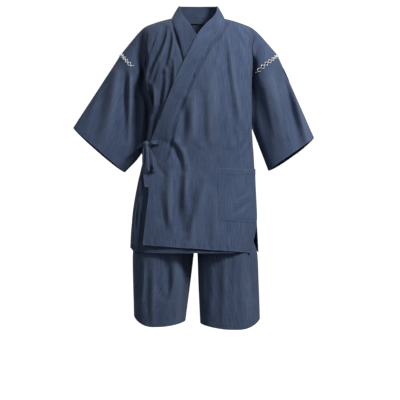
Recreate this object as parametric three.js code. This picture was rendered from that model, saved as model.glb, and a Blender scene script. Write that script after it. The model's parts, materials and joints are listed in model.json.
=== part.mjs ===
// Jinbei: a short summer jacket with laced-on sleeves and crossed fronts, and a pair of knee-length shorts.
// Millimetres, +Z up, the front faces -Y, and +X is the wearer's left.
// The origin is the middle of the neck base, where the wearer's neck and shoulders hold the jacket.
import * as THREE from 'three';

// Driving dimensions
const CLOTH = 2;                 // thickness of one cloth wall
const COLLAR_CLOTH = 3;          // the collar is a band folded double
const SEAM_GAP = 0.3;            // room between two pieces at a seam
const CORNER = 0.66;             // share of a row between the middle and the chest corner
const NECK_HALF = 87;            // half width of the neck opening on the shoulder line
const NECK_BACK_DROP = 45;       // how far down the back the neckline lies
const UNDERARM_DROP = 340;       // shoulder line to underarm
const SLIT_DROP = 640;           // shoulder line to the top of the side slits
const HEM_DROP = 765;            // shoulder line to the hem
const OVERLAP_LIFT = 6;          // the outer front lies this far over the inner front
const INNER_FRONT_EDGE = 122;    // free edge of the inner front, on the wearer's left
const CORD_GAP = 8;              // open gap at the sleeve head, bridged by the cord
const CORD_THICK = 1.6;          // thickness of the white cord
const CORD_PITCH = 15.5;         // one crossing of the cord
const CORD_END_DROP = 190;       // the crossings end this far down the armhole
const RIBBON = { width: 16, thick: 2.5 };
const POCKET = { thick: 1.6, bandRows: 2, raised: 1 };
const WAISTBAND = { top: -470, bottom: -503, width: 158, depth: 90, gathers: 20, wave: 2.4 };
const CROTCH = -743;             // height of the crotch
const SHORTS_MIDDLE = -8;        // the centre seams of the shorts
const SHORTS_RISE_BEND = -655;   // where the centre seam starts to turn under

// Rows of numbers as objects with named columns.
function table(columns, rows) {
  return rows.map((row) => Object.fromEntries(columns.split(' ').map((name, i) => [name, row[i]])));
}

// Middle of the jacket at each drop from the shoulder line: front and back depth, and their heights.
const MIDDLE = table('drop front frontZ back backZ', [
  [  0,    0,   12,   0,   14],
  [ 10,  -30,    5,  34,   15],
  [ 40,  -64,  -22,  72,    8],
  [ 90,  -91,  -78,  99,  -45],
  [150, -111, -145, 110, -128],
  [210, -121, -208, 114, -203],
  [270, -125, -271, 115, -270],
  [340, -124, -341, 112, -341],
  [400, -120, -400, 107, -400],
  [450, -117, -450, 105, -450],
  [530, -119, -530, 111, -530],
  [610, -125, -610, 121, -610],
  [695, -131, -695, 131, -695],
  [765, -136, -765, 139, -765],
]);

// Each half of the jacket at the same drops: the chest corner, the tuck in front of the arm,
// and the outer edge, which is the armhole down to the underarm and the side seam below it.
const LEFT_HALF = table('drop cornerX cornerY cornerZ tuckX tuckY tuckZ edgeX edgeY edgeZ', [
  [  0, 165,   0,  -20, 198,   0,  -43, 262,   0, -115],
  [ 10, 166, -25,  -26, 197, -13,  -47, 256, -22, -120],
  [ 40, 168, -52,  -52, 193, -25,  -68, 240, -45, -135],
  [ 90, 170, -69,  -98, 188, -30, -108, 216, -56, -153],
  [150, 171, -79, -152, 182, -34, -160, 193, -49, -176],
  [210, 172, -84, -212, 176, -42, -212, 178, -27, -216],
  [270, 172, -86, -276, 174, -44, -276, 173, -14, -278],
  [340, 172, -83, -343, 175, -42, -343, 174,   0, -343],
  [400, 173, -79, -400, 177, -38, -400, 178,   0, -400],
  [450, 177, -76, -450, 182, -38, -450, 183,   0, -450],
  [530, 180, -78, -530, 186, -38, -530, 187,   0, -530],
  [610, 183, -83, -610, 190, -40, -610, 191,   0, -610],
  [695, 186, -88, -695, 195, -42, -695, 196,   0, -695],
  [765, 188, -92, -765, 199, -44, -765, 200,   0, -765],
]);
const RIGHT_HALF = table('drop cornerX cornerY cornerZ tuckX tuckY tuckZ edgeX edgeY edgeZ', [
  [  0, 160,   0,  -16, 191,   0,  -37, 254,   0, -112],
  [ 10, 162, -25,  -23, 191, -13,  -42, 249, -21, -118],
  [ 40, 167, -52,  -50, 189, -25,  -64, 236, -43, -134],
  [ 90, 170, -69,  -97, 186, -30, -106, 214, -54, -158],
  [150, 171, -79, -151, 181, -34, -160, 192, -48, -183],
  [210, 168, -84, -212, 173, -42, -213, 177, -27, -219],
  [270, 158, -86, -276, 165, -43, -277, 168, -14, -280],
  [340, 155, -83, -345, 162, -41, -345, 164,   0, -345],
  [400, 161, -79, -400, 168, -38, -400, 170,   0, -400],
  [450, 170, -76, -450, 177, -38, -450, 179,   0, -450],
  [530, 186, -78, -530, 195, -38, -530, 197,   0, -530],
  [610, 199, -82, -610, 209, -40, -610, 211,   0, -610],
  [695, 207, -86, -695, 219, -42, -695, 221,   0, -695],
  [765, 210, -90, -765, 222, -44, -765, 224,   0, -765],
]);

// Collar halves from the shoulder line down the front: the seam's drop and place, and the free edge.
// A free edge with no height lies on the front at its own drop, and the others stand up round the neck.
const OUTER_COLLAR = [
  { drop: 0, seamX: 87, freeX: 65, freeY: 3, freeZ: 46 },
  { drop: 14, seamX: 86, freeX: 62, freeY: -22, freeZ: 27 },
  { drop: 38, seamX: 82, freeX: 50, freeY: -43, freeZ: 4 },
  { drop: 76, seamX: 64, freeX: 29, freeDrop: 36 },
  { drop: 115, seamX: 31, freeX: -1, freeDrop: 76 },
  { drop: 156, seamX: 7, freeX: -33, freeDrop: 134 },
  { drop: 203, seamX: -18, freeX: -59, freeDrop: 185 },
  { drop: 252, seamX: -40, freeX: -81, freeDrop: 235 },
  { drop: 300, seamX: -61, freeX: -104, freeDrop: 287 },
  { drop: 363, seamX: -82, freeX: -127, freeDrop: 350 },
  { drop: 426, seamX: -94, freeX: -149, freeDrop: 407 },
  { drop: 470, seamX: -114, freeX: -163, freeDrop: 452 },
  { drop: 508, seamX: -155, freeX: -167, freeDrop: 500 },
];
const INNER_COLLAR = [
  { drop: 0, seamX: -84, freeX: -60, freeY: 3, freeZ: 46 },
  { drop: 12, seamX: -82, freeX: -56, freeY: -22, freeZ: 25 },
  { drop: 40, seamX: -76, freeX: -43, freeY: -45, freeZ: 1 },
  { drop: 88, seamX: -59, freeX: -21, freeDrop: 48 },
  { drop: 145, seamX: -44, freeX: 2, freeDrop: 92 },
  { drop: 190, seamX: -20, freeX: 24, freeDrop: 160 },
  { drop: 240, seamX: 6, freeX: 48, freeDrop: 218 },
  { drop: 290, seamX: 31, freeX: 73, freeDrop: 274 },
  { drop: 345, seamX: 56, freeX: 97, freeDrop: 334 },
  { drop: 400, seamX: 81, freeX: 117, freeDrop: 391 },
  { drop: 430, seamX: 104, freeX: 120, freeDrop: 424 },
];
// Below the collar's end, the free edge of the outer front.
const OUTER_EDGE = [
  { drop: 520, x: -165 },
  { drop: 600, x: -169 },
  { drop: 695, x: -176 },
  { drop: 765, x: -180 },
];

// Sleeves: a tube from the armhole to a slanted oval cuff. tip is the top of the cuff, inner its underside.
const SLEEVES = {
  left: { tipX: 383, tipZ: -389, innerX: 231, innerZ: -495, depth: 60, backDrop: 14, sagX: 0, sagZ: 0 },
  right: { tipX: -412, tipZ: -356, innerX: -241, innerZ: -502, depth: 44, backDrop: 12, sagX: 15, sagZ: -4 },
};

// Shorts, one row for each height: outer sides, the legs' inner sides, front and back depth.
const SHORTS = table('z left right leftIn rightIn front back', [
  [ -503, 158, -162, -4, -12,  -92,  91],
  [ -560, 170, -178, -4, -12, -101,  98],
  [ -620, 176, -194, -4, -12, -110, 108],
  [ -690, 183, -206, -4, -12, -114, 113],
  [ -743, 190, -212, -5, -11, -113, 112],
  [ -775, 196, -215, -2, -14, -110, 110],
  [ -870, 200, -214,  1, -25, -102, 104],
  [-1000, 204, -211,  7, -41,  -96, 100],
]);
const LEG_HEMS = {
  left: { inner: -998, front: -1012, outer: -982, back: -997 },
  right: { inner: -990, front: -1003, outer: -972, back: -992 },
};

// Largest folds, seen from the front: a soft trough (or a ridge, where its depth is below zero)
// from x1, z1 over x2, z2 to x3, z3.
const OUTER_FOLDS = table('x1 z1 x2 z2 x3 z3 width depth', [
  [ 147,  -45,  155,  -85,  165, -135,  8,  5],
  [  80,  -80,   95, -185,  128, -345, 13,  6],
  [  48, -150,   50, -250,   46, -400, 20, -5],
  [ -50, -345,  -30, -370,  -42, -420, 16,  6],
  [ -92, -426,  -52, -470,  -57, -660, 11,  8],
  [  -2, -540,  -30, -600,  -42, -715, 14,  6],
  [-117, -460, -112, -570, -138, -600, 10,  5],
  [-138, -600, -128, -660, -112, -716, 12,  5],
  [ -85, -500,  -88, -610,  -92, -700, 18, -5],
]);
const INNER_FOLDS = table('x1 z1 x2 z2 x3 z3 width depth', [
  [ -78,  -40,  -58,  -85,  -44, -150,  8,  5],
  [-119,  -35, -128,  -95, -155, -135, 10,  6],
  [ -92,  -40,  -92, -120, -128, -215, 10,  6],
  [ -96, -180, -105, -280, -129, -345, 10,  7],
  [-112, -130, -118, -240, -146, -340, 12, -5],
]);
const BACK_FOLDS = table('x1 z1 x2 z2 x3 z3 width depth', [
  [-110,  -60, -128, -160, -140, -320, 14, 6],
  [ 112,  -60,  126, -170,  150, -330, 14, 6],
  [  60, -330,   48, -480,   62, -700, 18, 7],
  [ -70, -360,  -52, -520,  -76, -720, 18, 7],
  [ 128, -440,  122, -560,  140, -730, 14, 5],
  [-150, -470, -140, -580, -160, -735, 14, 5],
]);
const LEFT_SLEEVE_FOLDS = table('x1 z1 x2 z2 x3 z3 width depth', [
  [290, -185, 310, -290, 350, -405, 15, 6],
  [205, -190, 215, -300, 245, -430, 14, 5],
]);
const RIGHT_SLEEVE_FOLDS = table('x1 z1 x2 z2 x3 z3 width depth', [
  [-228, -150, -236, -250, -250, -375, 12, 6],
  [-205, -215, -214, -310, -222, -420, 11, 5],
  [-300, -200, -320, -290, -345, -395, 18, 5],
]);
const SHORTS_FOLDS = table('x1 z1 x2 z2 x3 z3 width depth', [
  [-178, -770, -178, -880, -190,  -950, 12,  6],
  [-106, -765, -104, -830, -108,  -905, 13,  7],
  [ -60, -770,  -58, -880,  -62, -1000, 15, -5],
  [  60, -770,   66, -880,   58, -1000, 20,  6],
  [ 150, -790,  156, -890,  168, -1000, 16, -4],
]);

// Finishes
const DENIM = { color: 0x4b586e, roughness: 0.92, metalness: 0 };
const DENIM_SHADE = { color: 0x435066, roughness: 0.92, metalness: 0 };
const WHITE_CORD = { color: 0xe9e6dd, roughness: 0.8, metalness: 0 };

const vec = (x, y, z) => new THREE.Vector3(x, y, z);
const mix = (a, b, t) => a + (b - a) * t;
const clamp01 = (t) => Math.min(1, Math.max(0, t));
// 0 before from, 1 after to, with a soft start and end.
function ramp(from, to, at) {
  const t = clamp01((at - from) / (to - from));
  return t * t * (3 - 2 * t);
}

// Smooth value of one column of a table at a place along its key column.
function column(rows, key, name, at) {
  const last = rows.length - 1;
  const rising = rows[last][key] > rows[0][key];
  let i = 0;
  while (i < last - 1 && (rising ? at > rows[i + 1][key] : at < rows[i + 1][key])) i += 1;
  const slope = (k) => {
    const lo = rows[Math.max(0, k - 1)];
    const hi = rows[Math.min(last, k + 1)];
    return (hi[name] - lo[name]) / (hi[key] - lo[key]);
  };
  const a = rows[i];
  const b = rows[i + 1];
  const span = b[key] - a[key];
  const t = clamp01((at - a[key]) / span);
  const t2 = t * t;
  const t3 = t2 * t;
  return (2 * t3 - 3 * t2 + 1) * a[name] + (t3 - 2 * t2 + t) * span * slope(i)
    + (3 * t2 - 2 * t3) * b[name] + (t3 - t2) * span * slope(i + 1);
}

// Point on a smooth curve through p, q with end directions m, n.
function hermite(p, q, m, n, t) {
  const t2 = t * t;
  const t3 = t2 * t;
  return vec(0, 0, 0).addScaledVector(p, 2 * t3 - 3 * t2 + 1).addScaledVector(m, t3 - 2 * t2 + t)
    .addScaledVector(q, 3 * t2 - 2 * t3).addScaledVector(n, t3 - t2);
}

// How deep the folds of a table are at a place seen from the front.
function foldDepth(folds, x, z) {
  const steps = 10;
  let depth = 0;
  for (const fold of folds) {
    let nearest = Infinity;
    let where = 0;
    for (let i = 0; i <= steps; i += 1) {
      const t = i / steps;
      const px = (1 - t) ** 2 * fold.x1 + 2 * t * (1 - t) * fold.x2 + t * t * fold.x3;
      const pz = (1 - t) ** 2 * fold.z1 + 2 * t * (1 - t) * fold.z2 + t * t * fold.z3;
      const apart = Math.hypot(x - px, z - pz);
      if (apart < nearest) {
        nearest = apart;
        where = t;
      }
    }
    const ends = 0.35 + 0.65 * Math.sin(Math.PI * clamp01(where));
    depth += fold.depth * ends * Math.exp(-((nearest / fold.width) ** 2));
  }
  return depth;
}

// The jacket's body as one surface. across runs from -1 (wearer's right edge) over 0 (middle)
// to 1 (wearer's left edge), and drop is the distance down from the shoulder line.
const CORNER_ROUNDING = 2.6;     // how late the chest turns back towards its corner
function bodySurface(face, across, drop) {
  const half = across < 0 ? RIGHT_HALF : LEFT_HALF;
  const side = across < 0 ? -1 : 1;
  const value = (name) => column(half, 'drop', name, drop);
  const middleY = column(MIDDLE, 'drop', face, drop);
  const middleZ = column(MIDDLE, 'drop', `${face}Z`, drop);
  const frontY = column(MIDDLE, 'drop', 'front', drop);
  const turn = face === 'front' ? 1 : -(Math.abs(middleY) + 1) / (Math.abs(frontY) + 1);
  const corner = vec(side * value('cornerX'), turn * value('cornerY'), value('cornerZ'));
  const share = Math.abs(across) / CORNER;
  const chest = (t) => vec(
    corner.x * t,
    mix(middleY, corner.y, t ** CORNER_ROUNDING),
    mix(middleZ, corner.z, t * t),
  );
  if (share <= 1) return chest(share);
  const tuck = vec(side * value('tuckX'), turn * value('tuckY'), value('tuckZ'));
  const edge = vec(side * value('edgeX'), turn * Math.min(0, value('edgeY')), value('edgeZ'));
  const part = 2 * (Math.abs(across) - CORNER) / (1 - CORNER);
  const out = corner.clone().sub(chest(0.96)).normalize().multiplyScalar(0.5 * corner.distanceTo(tuck));
  const along = edge.clone().sub(corner).multiplyScalar(0.5);
  if (part <= 1) return hermite(corner, tuck, out, along, part);
  return hermite(tuck, edge, along, edge.clone().sub(tuck), part - 1);
}

// Place across a row for a distance x from the middle, inside the chest corners.
function acrossAt(x, drop) {
  const half = x < 0 ? RIGHT_HALF : LEFT_HALF;
  return CORNER * x / column(half, 'drop', 'cornerX', drop);
}

// Point of the body moved out along its normal.
function bodyPoint(face, across, drop, lift) {
  const e = 0.01;
  const at = bodySurface(face, across, drop);
  const sideways = bodySurface(face, Math.min(1, across + e), drop)
    .sub(bodySurface(face, Math.max(-1, across - e), drop));
  const down = bodySurface(face, across, drop + 1).sub(bodySurface(face, across, Math.max(0, drop - 1)));
  if (drop < 1) down.set(0, face === 'front' ? -1 : 1, 0);
  const out = face === 'front' ? down.cross(sideways) : sideways.cross(down);
  return at.addScaledVector(out.normalize(), lift);
}

// The outer front lies over the inner one, and comes down to the body towards the neck and its side seam.
function overlapLift(x, z) {
  return OVERLAP_LIFT * ramp(-5, -62, z) * (1 - ramp(128, 172, x));
}

// Seams on the shoulder, sides and inseams lie in the plane y = 0, the collar's in x = 0 and the shorts'
// centre seams in their own plane, and there a wall's cut edge stays in the plane too.
function keepInSeamPlane(normal, p) {
  if (Math.abs(p.y) < 0.01) normal.y = 0;
  if (Math.abs(p.x) < 0.01 || Math.abs(p.x - SHORTS_MIDDLE) < 0.02) normal.x = 0;
  return normal.normalize();
}

// A closed wall from rows of points on its outer face, which run down and, seen from the front, to the
// right. around joins the last column to the first, and back turns the wall's thickness the other way.
// firstIn gives some rows the direction of the thickness at their first column.
function wall(rows, thickness, { around = false, back = false, gap = SEAM_GAP / 2, firstIn = [] } = {}) {
  const height = rows.length;
  const width = rows[0].length;
  const at = (i, j) => rows[i][around ? (j + width) % width : j];
  const outer = rows.map((row) => row.map((p) => p.clone()));
  const inner = [];
  for (let i = 0; i < height; i += 1) {
    inner.push([]);
    for (let j = 0; j < width; j += 1) {
      const down = at(Math.min(height - 1, i + 1), j).clone().sub(at(Math.max(0, i - 1), j));
      const left = around ? at(i, j - 1) : at(i, Math.max(0, j - 1));
      const right = around ? at(i, j + 1) : at(i, Math.min(width - 1, j + 1));
      const normal = right.clone().sub(left).cross(down).normalize();
      if (!around) keepInSeamPlane(normal, at(i, j));
      if (back) normal.negate();
      if (j === 0 && firstIn[i]) normal.copy(firstIn[i]);
      inner[i].push(outer[i][j].clone().addScaledVector(normal, thickness));
    }
  }
  for (const face of [outer, inner]) {
    const pull = (i, j, k, l) => {
      const step = face[k][l].clone().sub(face[i][j]);
      face[i][j].addScaledVector(step.normalize(), gap);
    };
    for (let j = 0; j < width; j += 1) {
      pull(0, j, 1, j);
      pull(height - 1, j, height - 2, j);
    }
    for (let i = 0; i < height && !around; i += 1) {
      pull(i, 0, i, 1);
      pull(i, width - 1, i, width - 2);
    }
  }
  const vertices = [];
  for (const face of [outer, inner]) for (const row of face) for (const p of row) vertices.push(p.x, p.y, p.z);
  const index = [];
  const id = (face, i, j) => (face * height + i) * width + (around ? (j + width) % width : j);
  const quad = (a, b, c, d) => {
    if (back) index.push(a, b, c, a, c, d);
    else index.push(a, c, b, a, d, c);
  };
  const columns = around ? width : width - 1;
  for (let i = 0; i < height - 1; i += 1) {
    for (let j = 0; j < columns; j += 1) {
      quad(id(0, i, j), id(0, i, j + 1), id(0, i + 1, j + 1), id(0, i + 1, j));
      quad(id(1, i, j), id(1, i + 1, j), id(1, i + 1, j + 1), id(1, i, j + 1));
    }
  }
  for (let j = 0; j < columns; j += 1) {
    quad(id(0, 0, j + 1), id(0, 0, j), id(1, 0, j), id(1, 0, j + 1));
    quad(id(0, height - 1, j), id(0, height - 1, j + 1), id(1, height - 1, j + 1), id(1, height - 1, j));
  }
  for (let i = 0; i < height - 1 && !around; i += 1) {
    quad(id(0, i, 0), id(0, i + 1, 0), id(1, i + 1, 0), id(1, i, 0));
    quad(id(0, i + 1, width - 1), id(0, i, width - 1), id(1, i, width - 1), id(1, i + 1, width - 1));
  }
  const geometry = new THREE.BufferGeometry();
  geometry.setAttribute('position', new THREE.Float32BufferAttribute(vertices, 3));
  geometry.setIndex(index);
  geometry.computeVertexNormals();
  return geometry;
}

const part = new THREE.Group();
function addPiece(name, geometry, finish) {
  const mesh = new THREE.Mesh(geometry, new THREE.MeshStandardMaterial(finish));
  mesh.name = name;
  part.add(mesh);
}

// Numbers from first to last in equal steps.
function spread(first, last, count) {
  return Array.from({ length: count }, (_, i) => mix(first, last, i / (count - 1)));
}

// Rows are close together over the shoulder, where the cloth turns, and wider below.
const SHOULDER_ROWS = [0, 4, 11, 22, 40, 65, 96];
const POCKET_ROWS = [492, 508, 512, 540, 575, 610, 640, 667];
const BODY_ROWS = [130, 168, 210, 250, 296, 340, 385, 430, 462, ...POCKET_ROWS, 700, 733, HEM_DROP];

// The back's neckline dips below the shoulder line between the two sides of the neck.
function backNeckDrop(x) {
  return NECK_BACK_DROP * Math.sqrt(Math.max(0, 1 - (x / NECK_HALF) ** 2));
}

const NECK_TURNS = 12;           // steps round the neck from side to side, shared with the collar
function neckX(step) {
  return NECK_HALF * Math.sin(Math.PI * (step / NECK_TURNS - 0.5));
}
function backPanel() {
  const lastShoulder = SHOULDER_ROWS[SHOULDER_ROWS.length - 1];
  const rows = [...SHOULDER_ROWS, ...BODY_ROWS].map((level) => {
    const dropFor = (x, across) => {
      const start = backNeckDrop(Math.min(NECK_HALF, Math.abs(x)));
      const top = level < lastShoulder ? mix(start, lastShoulder, level / lastShoulder) : level;
      return top + backHem(across) * ramp(560, HEM_DROP, level);
    };
    const places = [
      ...spread(-1, -CORNER, 6), ...spread(-CORNER, acrossAt(-NECK_HALF, level), 4).slice(1),
    ].map((across) => [across, dropFor(NECK_HALF, across)]);
    for (let step = 1; step <= NECK_TURNS; step += 1) {
      const drop = dropFor(neckX(step), 0);
      places.push([acrossAt(neckX(step), drop), drop]);
    }
    for (const across of [
      ...spread(acrossAt(NECK_HALF, level), CORNER, 4).slice(1), ...spread(CORNER, 1, 6).slice(1),
    ]) places.push([across, dropFor(NECK_HALF, across)]);
    return places.map(([across, drop]) => {
      const p = bodySurface('back', across, drop);
      return bodyPoint('back', across, drop, -foldDepth(BACK_FOLDS, p.x, p.z));
    });
  });
  return wall(rows, CLOTH, { back: true });
}
// The back hem ends a little higher on the wearer's right.
function backHem(across) {
  return mix(-12, 1, (across + 1) / 2);
}

// Where the collar seam, and below it the free edge, bounds a front.
function outerBound(drop) {
  const end = OUTER_COLLAR[OUTER_COLLAR.length - 1];
  if (drop <= end.drop) return column(OUTER_COLLAR, 'drop', 'seamX', drop);
  return mix(end.seamX, column(OUTER_EDGE, 'drop', 'x', drop), ramp(end.drop, OUTER_EDGE[0].drop, drop));
}
function innerBound(drop) {
  const end = INNER_COLLAR[INNER_COLLAR.length - 1];
  if (drop <= end.drop) return column(INNER_COLLAR, 'drop', 'seamX', drop);
  return mix(end.seamX, INNER_FRONT_EDGE, ramp(end.drop, end.drop + 60, drop));
}

// A front swings forward and in below the top of its side slit.
const SLIT_SWING = { left: { inwards: 24, forward: 84 }, right: { inwards: 8, forward: 30 } };
function slitSwing(across, drop, side) {
  const low = clamp01((drop - SLIT_DROP) / (HEM_DROP - SLIT_DROP));
  const away = Math.abs(across);
  const { inwards, forward } = SLIT_SWING[side];
  return vec(
    -Math.sign(across) * inwards * low ** 1.6 * ramp(0.25, 0.95, away),
    -forward * low ** 0.85 * ramp(0.6, 1, away),
    0,
  );
}

function outerFrontPoint(across, drop, extra) {
  const p = bodySurface('front', across, drop);
  const lift = overlapLift(p.x, p.z) - foldDepth(OUTER_FOLDS, p.x, p.z);
  const out = bodyPoint('front', across, drop, lift + extra);
  return across > 0 ? out.add(slitSwing(across, drop, 'left')) : out;
}
// The outer hem hangs lower towards the wearer's left.
const OUTER_HEM = { freeEdge: -29, side: 5 };
function outerHem(across, level) {
  const hem = mix(OUTER_HEM.freeEdge, OUTER_HEM.side, (across + CORNER) / (1 + CORNER));
  return hem * ramp(508, 640, level);
}
// The outer front's columns: the last ones are shared with the pocket.
const POCKET_COLUMNS = [0.235, 0.32, 0.405, 0.49, 0.575, CORNER, 0.72, 0.79];
const SIDE_COLUMNS = [0.86, 0.93, 1];
function outerPlaces(level) {
  const start = acrossAt(outerBound(level), level);
  const first = Math.max(POCKET_COLUMNS[0], mix(start, CORNER, 0.3));
  const shift = (place) => mix(first, CORNER, (place - POCKET_COLUMNS[0]) / (CORNER - POCKET_COLUMNS[0]));
  const pocketPart = POCKET_COLUMNS.map((place) => (place < CORNER ? shift(place) : place));
  return [...spread(start, first, 8), ...pocketPart.slice(1), ...SIDE_COLUMNS];
}
function outerFront() {
  const rows = [...SHOULDER_ROWS, ...BODY_ROWS].map((level) => {
    return outerPlaces(level).map((across) => outerFrontPoint(across, level + outerHem(across, level), 0));
  });
  return wall(rows, CLOTH);
}

function innerFrontPoint(across, drop, extra) {
  const p = bodySurface('front', across, drop);
  // Where the outer front dips into a fold, the inner one is pressed in under it.
  const pressed = 1.15 * Math.max(0, foldDepth(OUTER_FOLDS, p.x, p.z));
  const out = bodyPoint('front', across, drop, extra - foldDepth(INNER_FOLDS, p.x, p.z) - pressed);
  return across < 0 ? out.add(slitSwing(across, drop, 'right')) : out;
}
const INNER_HEM = { side: -13, freeEdge: -2 };
function innerFront() {
  const rows = [...SHOULDER_ROWS, ...BODY_ROWS].map((level) => {
    const end = acrossAt(innerBound(level), level);
    const places = [...spread(-1, -CORNER, 6), ...spread(-CORNER, end, 12).slice(1)];
    return places.map((across) => {
      const hem = mix(INNER_HEM.side, INNER_HEM.freeEdge, ramp(-1, -0.4, across));
      return innerFrontPoint(across, level + hem * ramp(560, HEM_DROP, level), 0);
    });
  });
  return wall(rows, CLOTH);
}

// One half of the collar band: from the middle of the back neck round the side and down the front.
// Its rows are those of the back's neckline and of the front's edge.
const COLLAR_STAND = [
  { step: 0, freeX: 0, freeY: 69, freeZ: 56 },
  { step: 2, freeX: 33, freeY: 61, freeZ: 55 },
  { step: 4, freeX: 57, freeY: 37, freeZ: 51 },
  { step: 6, freeX: 65, freeY: 3, freeZ: 46 },
];
const COLLAR_PROUD = COLLAR_CLOTH - CLOTH;
const COLLAR_SIDES = 4;
const FLAT_FROM = 60;            // below this drop the collar lies flat on the front
function collarHalf(edges, side, pointOn) {
  const pairs = [];
  const firstIn = [];
  for (let step = 0; step < NECK_TURNS / 2; step += 1) {
    const x = side * neckX(NECK_TURNS / 2 + step);
    const drop = backNeckDrop(x);
    const value = (name) => column(COLLAR_STAND, 'step', name, step);
    const free = vec(side * value('freeX'), value('freeY'), value('freeZ'));
    pairs.push([bodyPoint('back', acrossAt(x, drop), drop, COLLAR_PROUD + SEAM_GAP), free]);
  }
  const freeRows = edges.map((row) => {
    if (row.freeDrop === undefined) return { drop: row.drop, x: row.freeX, y: row.freeY, z: row.freeZ };
    const p = pointOn(acrossAt(row.freeX, row.freeDrop), row.freeDrop, COLLAR_PROUD);
    return { drop: row.drop, x: p.x, y: p.y, z: p.z };
  });
  const end = edges[edges.length - 1].drop;
  for (const drop of [...SHOULDER_ROWS, ...BODY_ROWS]) {
    if (drop > end) break;
    const value = (name) => column(freeRows, 'drop', name, drop);
    const across = acrossAt(column(edges, 'drop', 'seamX', drop), drop);
    const seam = pointOn(across, drop, COLLAR_PROUD + (drop > FLAT_FROM ? 0 : SEAM_GAP));
    if (drop > FLAT_FROM) firstIn[pairs.length] = pointOn(across, drop, 0).sub(seam).normalize();
    pairs.push([seam, vec(value('x'), value('y'), value('z'))]);
  }
  const rows = pairs.map(([seam, free]) => spread(0, 1, COLLAR_SIDES).map((e) => seam.clone().lerp(free, e)));
  return wall(rows, COLLAR_CLOTH, { back: side > 0, gap: SEAM_GAP, firstIn });
}

// Armhole point for a turn round the sleeve: 0 at the shoulder, pi at the underarm, the front above zero.
const ARMHOLE_EASE = 1.25;       // spaces the turns evenly along the armhole
function armhole(side, turn) {
  const drop = UNDERARM_DROP * (Math.abs(turn) / Math.PI) ** ARMHOLE_EASE;
  return { drop, point: bodySurface(turn < 0 ? 'back' : 'front', side, drop) };
}
function cuffPoint(shape, turn) {
  const middle = vec((shape.tipX + shape.innerX) / 2, 0, (shape.tipZ + shape.innerZ) / 2);
  const half = vec((shape.tipX - shape.innerX) / 2, 0, (shape.tipZ - shape.innerZ) / 2);
  const p = middle.addScaledVector(half, Math.cos(turn));
  p.y -= shape.depth * Math.sin(turn);
  p.z -= turn < 0 ? shape.backDrop * Math.sin(-turn) : 0;
  return p;
}
// Room between body and sleeve head: open where the cord crosses it, closed below.
function headGap(drop) {
  return mix(CORD_GAP, 1.5 * SEAM_GAP, ramp(CORD_END_DROP + 4, CORD_END_DROP + 40, drop));
}
// Directions at the armhole: along its edge, out of the cloth, and across the gap to the sleeve.
function armholeFrame(name, turn) {
  const side = name === 'left' ? 1 : -1;
  const shape = SLEEVES[name];
  const e = 0.02;
  const { point, drop } = armhole(side, turn);
  const tangent = armhole(side, turn - e).point.sub(armhole(side, turn + e).point).normalize();
  const out = tangent.clone().cross(cuffPoint(shape, turn).sub(point)).normalize().multiplyScalar(side);
  const across = out.clone().cross(tangent).multiplyScalar(side);
  return { point, drop, tangent, out, across };
}
function sleevePoint(name, turn, along) {
  const shape = SLEEVES[name];
  const { point, drop, across } = armholeFrame(name, turn);
  const p = point.clone().addScaledVector(across, headGap(drop)).lerp(cuffPoint(shape, turn), along);
  const under = Math.max(0, -Math.cos(turn)) * Math.sin(Math.PI * along);
  return p.add(vec(shape.sagX * under, 0, shape.sagZ * under));
}
const SLEEVE_ROWS = 12;
const SLEEVE_COLUMNS = 34;
function sleeve(name, folds) {
  const turns = Array.from({ length: SLEEVE_COLUMNS }, (_, j) => Math.PI * (2 * j / SLEEVE_COLUMNS - 1));
  const rows = spread(0, 1, SLEEVE_ROWS).map((along) => turns.map((turn) => {
    const p = sleevePoint(name, turn, along);
    const inwards = cuffAxisDirection(name, turn);
    const fade = Math.sin(Math.PI * Math.min(1, along + 0.15));
    return p.addScaledVector(inwards, foldDepth(folds, p.x, p.z) * fade);
  }));
  return wall(rows, CLOTH, { around: true, back: name === 'left', gap: 0 });
}
// From the sleeve's skin straight in towards its middle.
function cuffAxisDirection(name, turn) {
  const shape = SLEEVES[name];
  const middle = cuffPoint(shape, 0).add(cuffPoint(shape, Math.PI)).multiplyScalar(0.5);
  return middle.sub(cuffPoint(shape, turn)).normalize();
}

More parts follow.
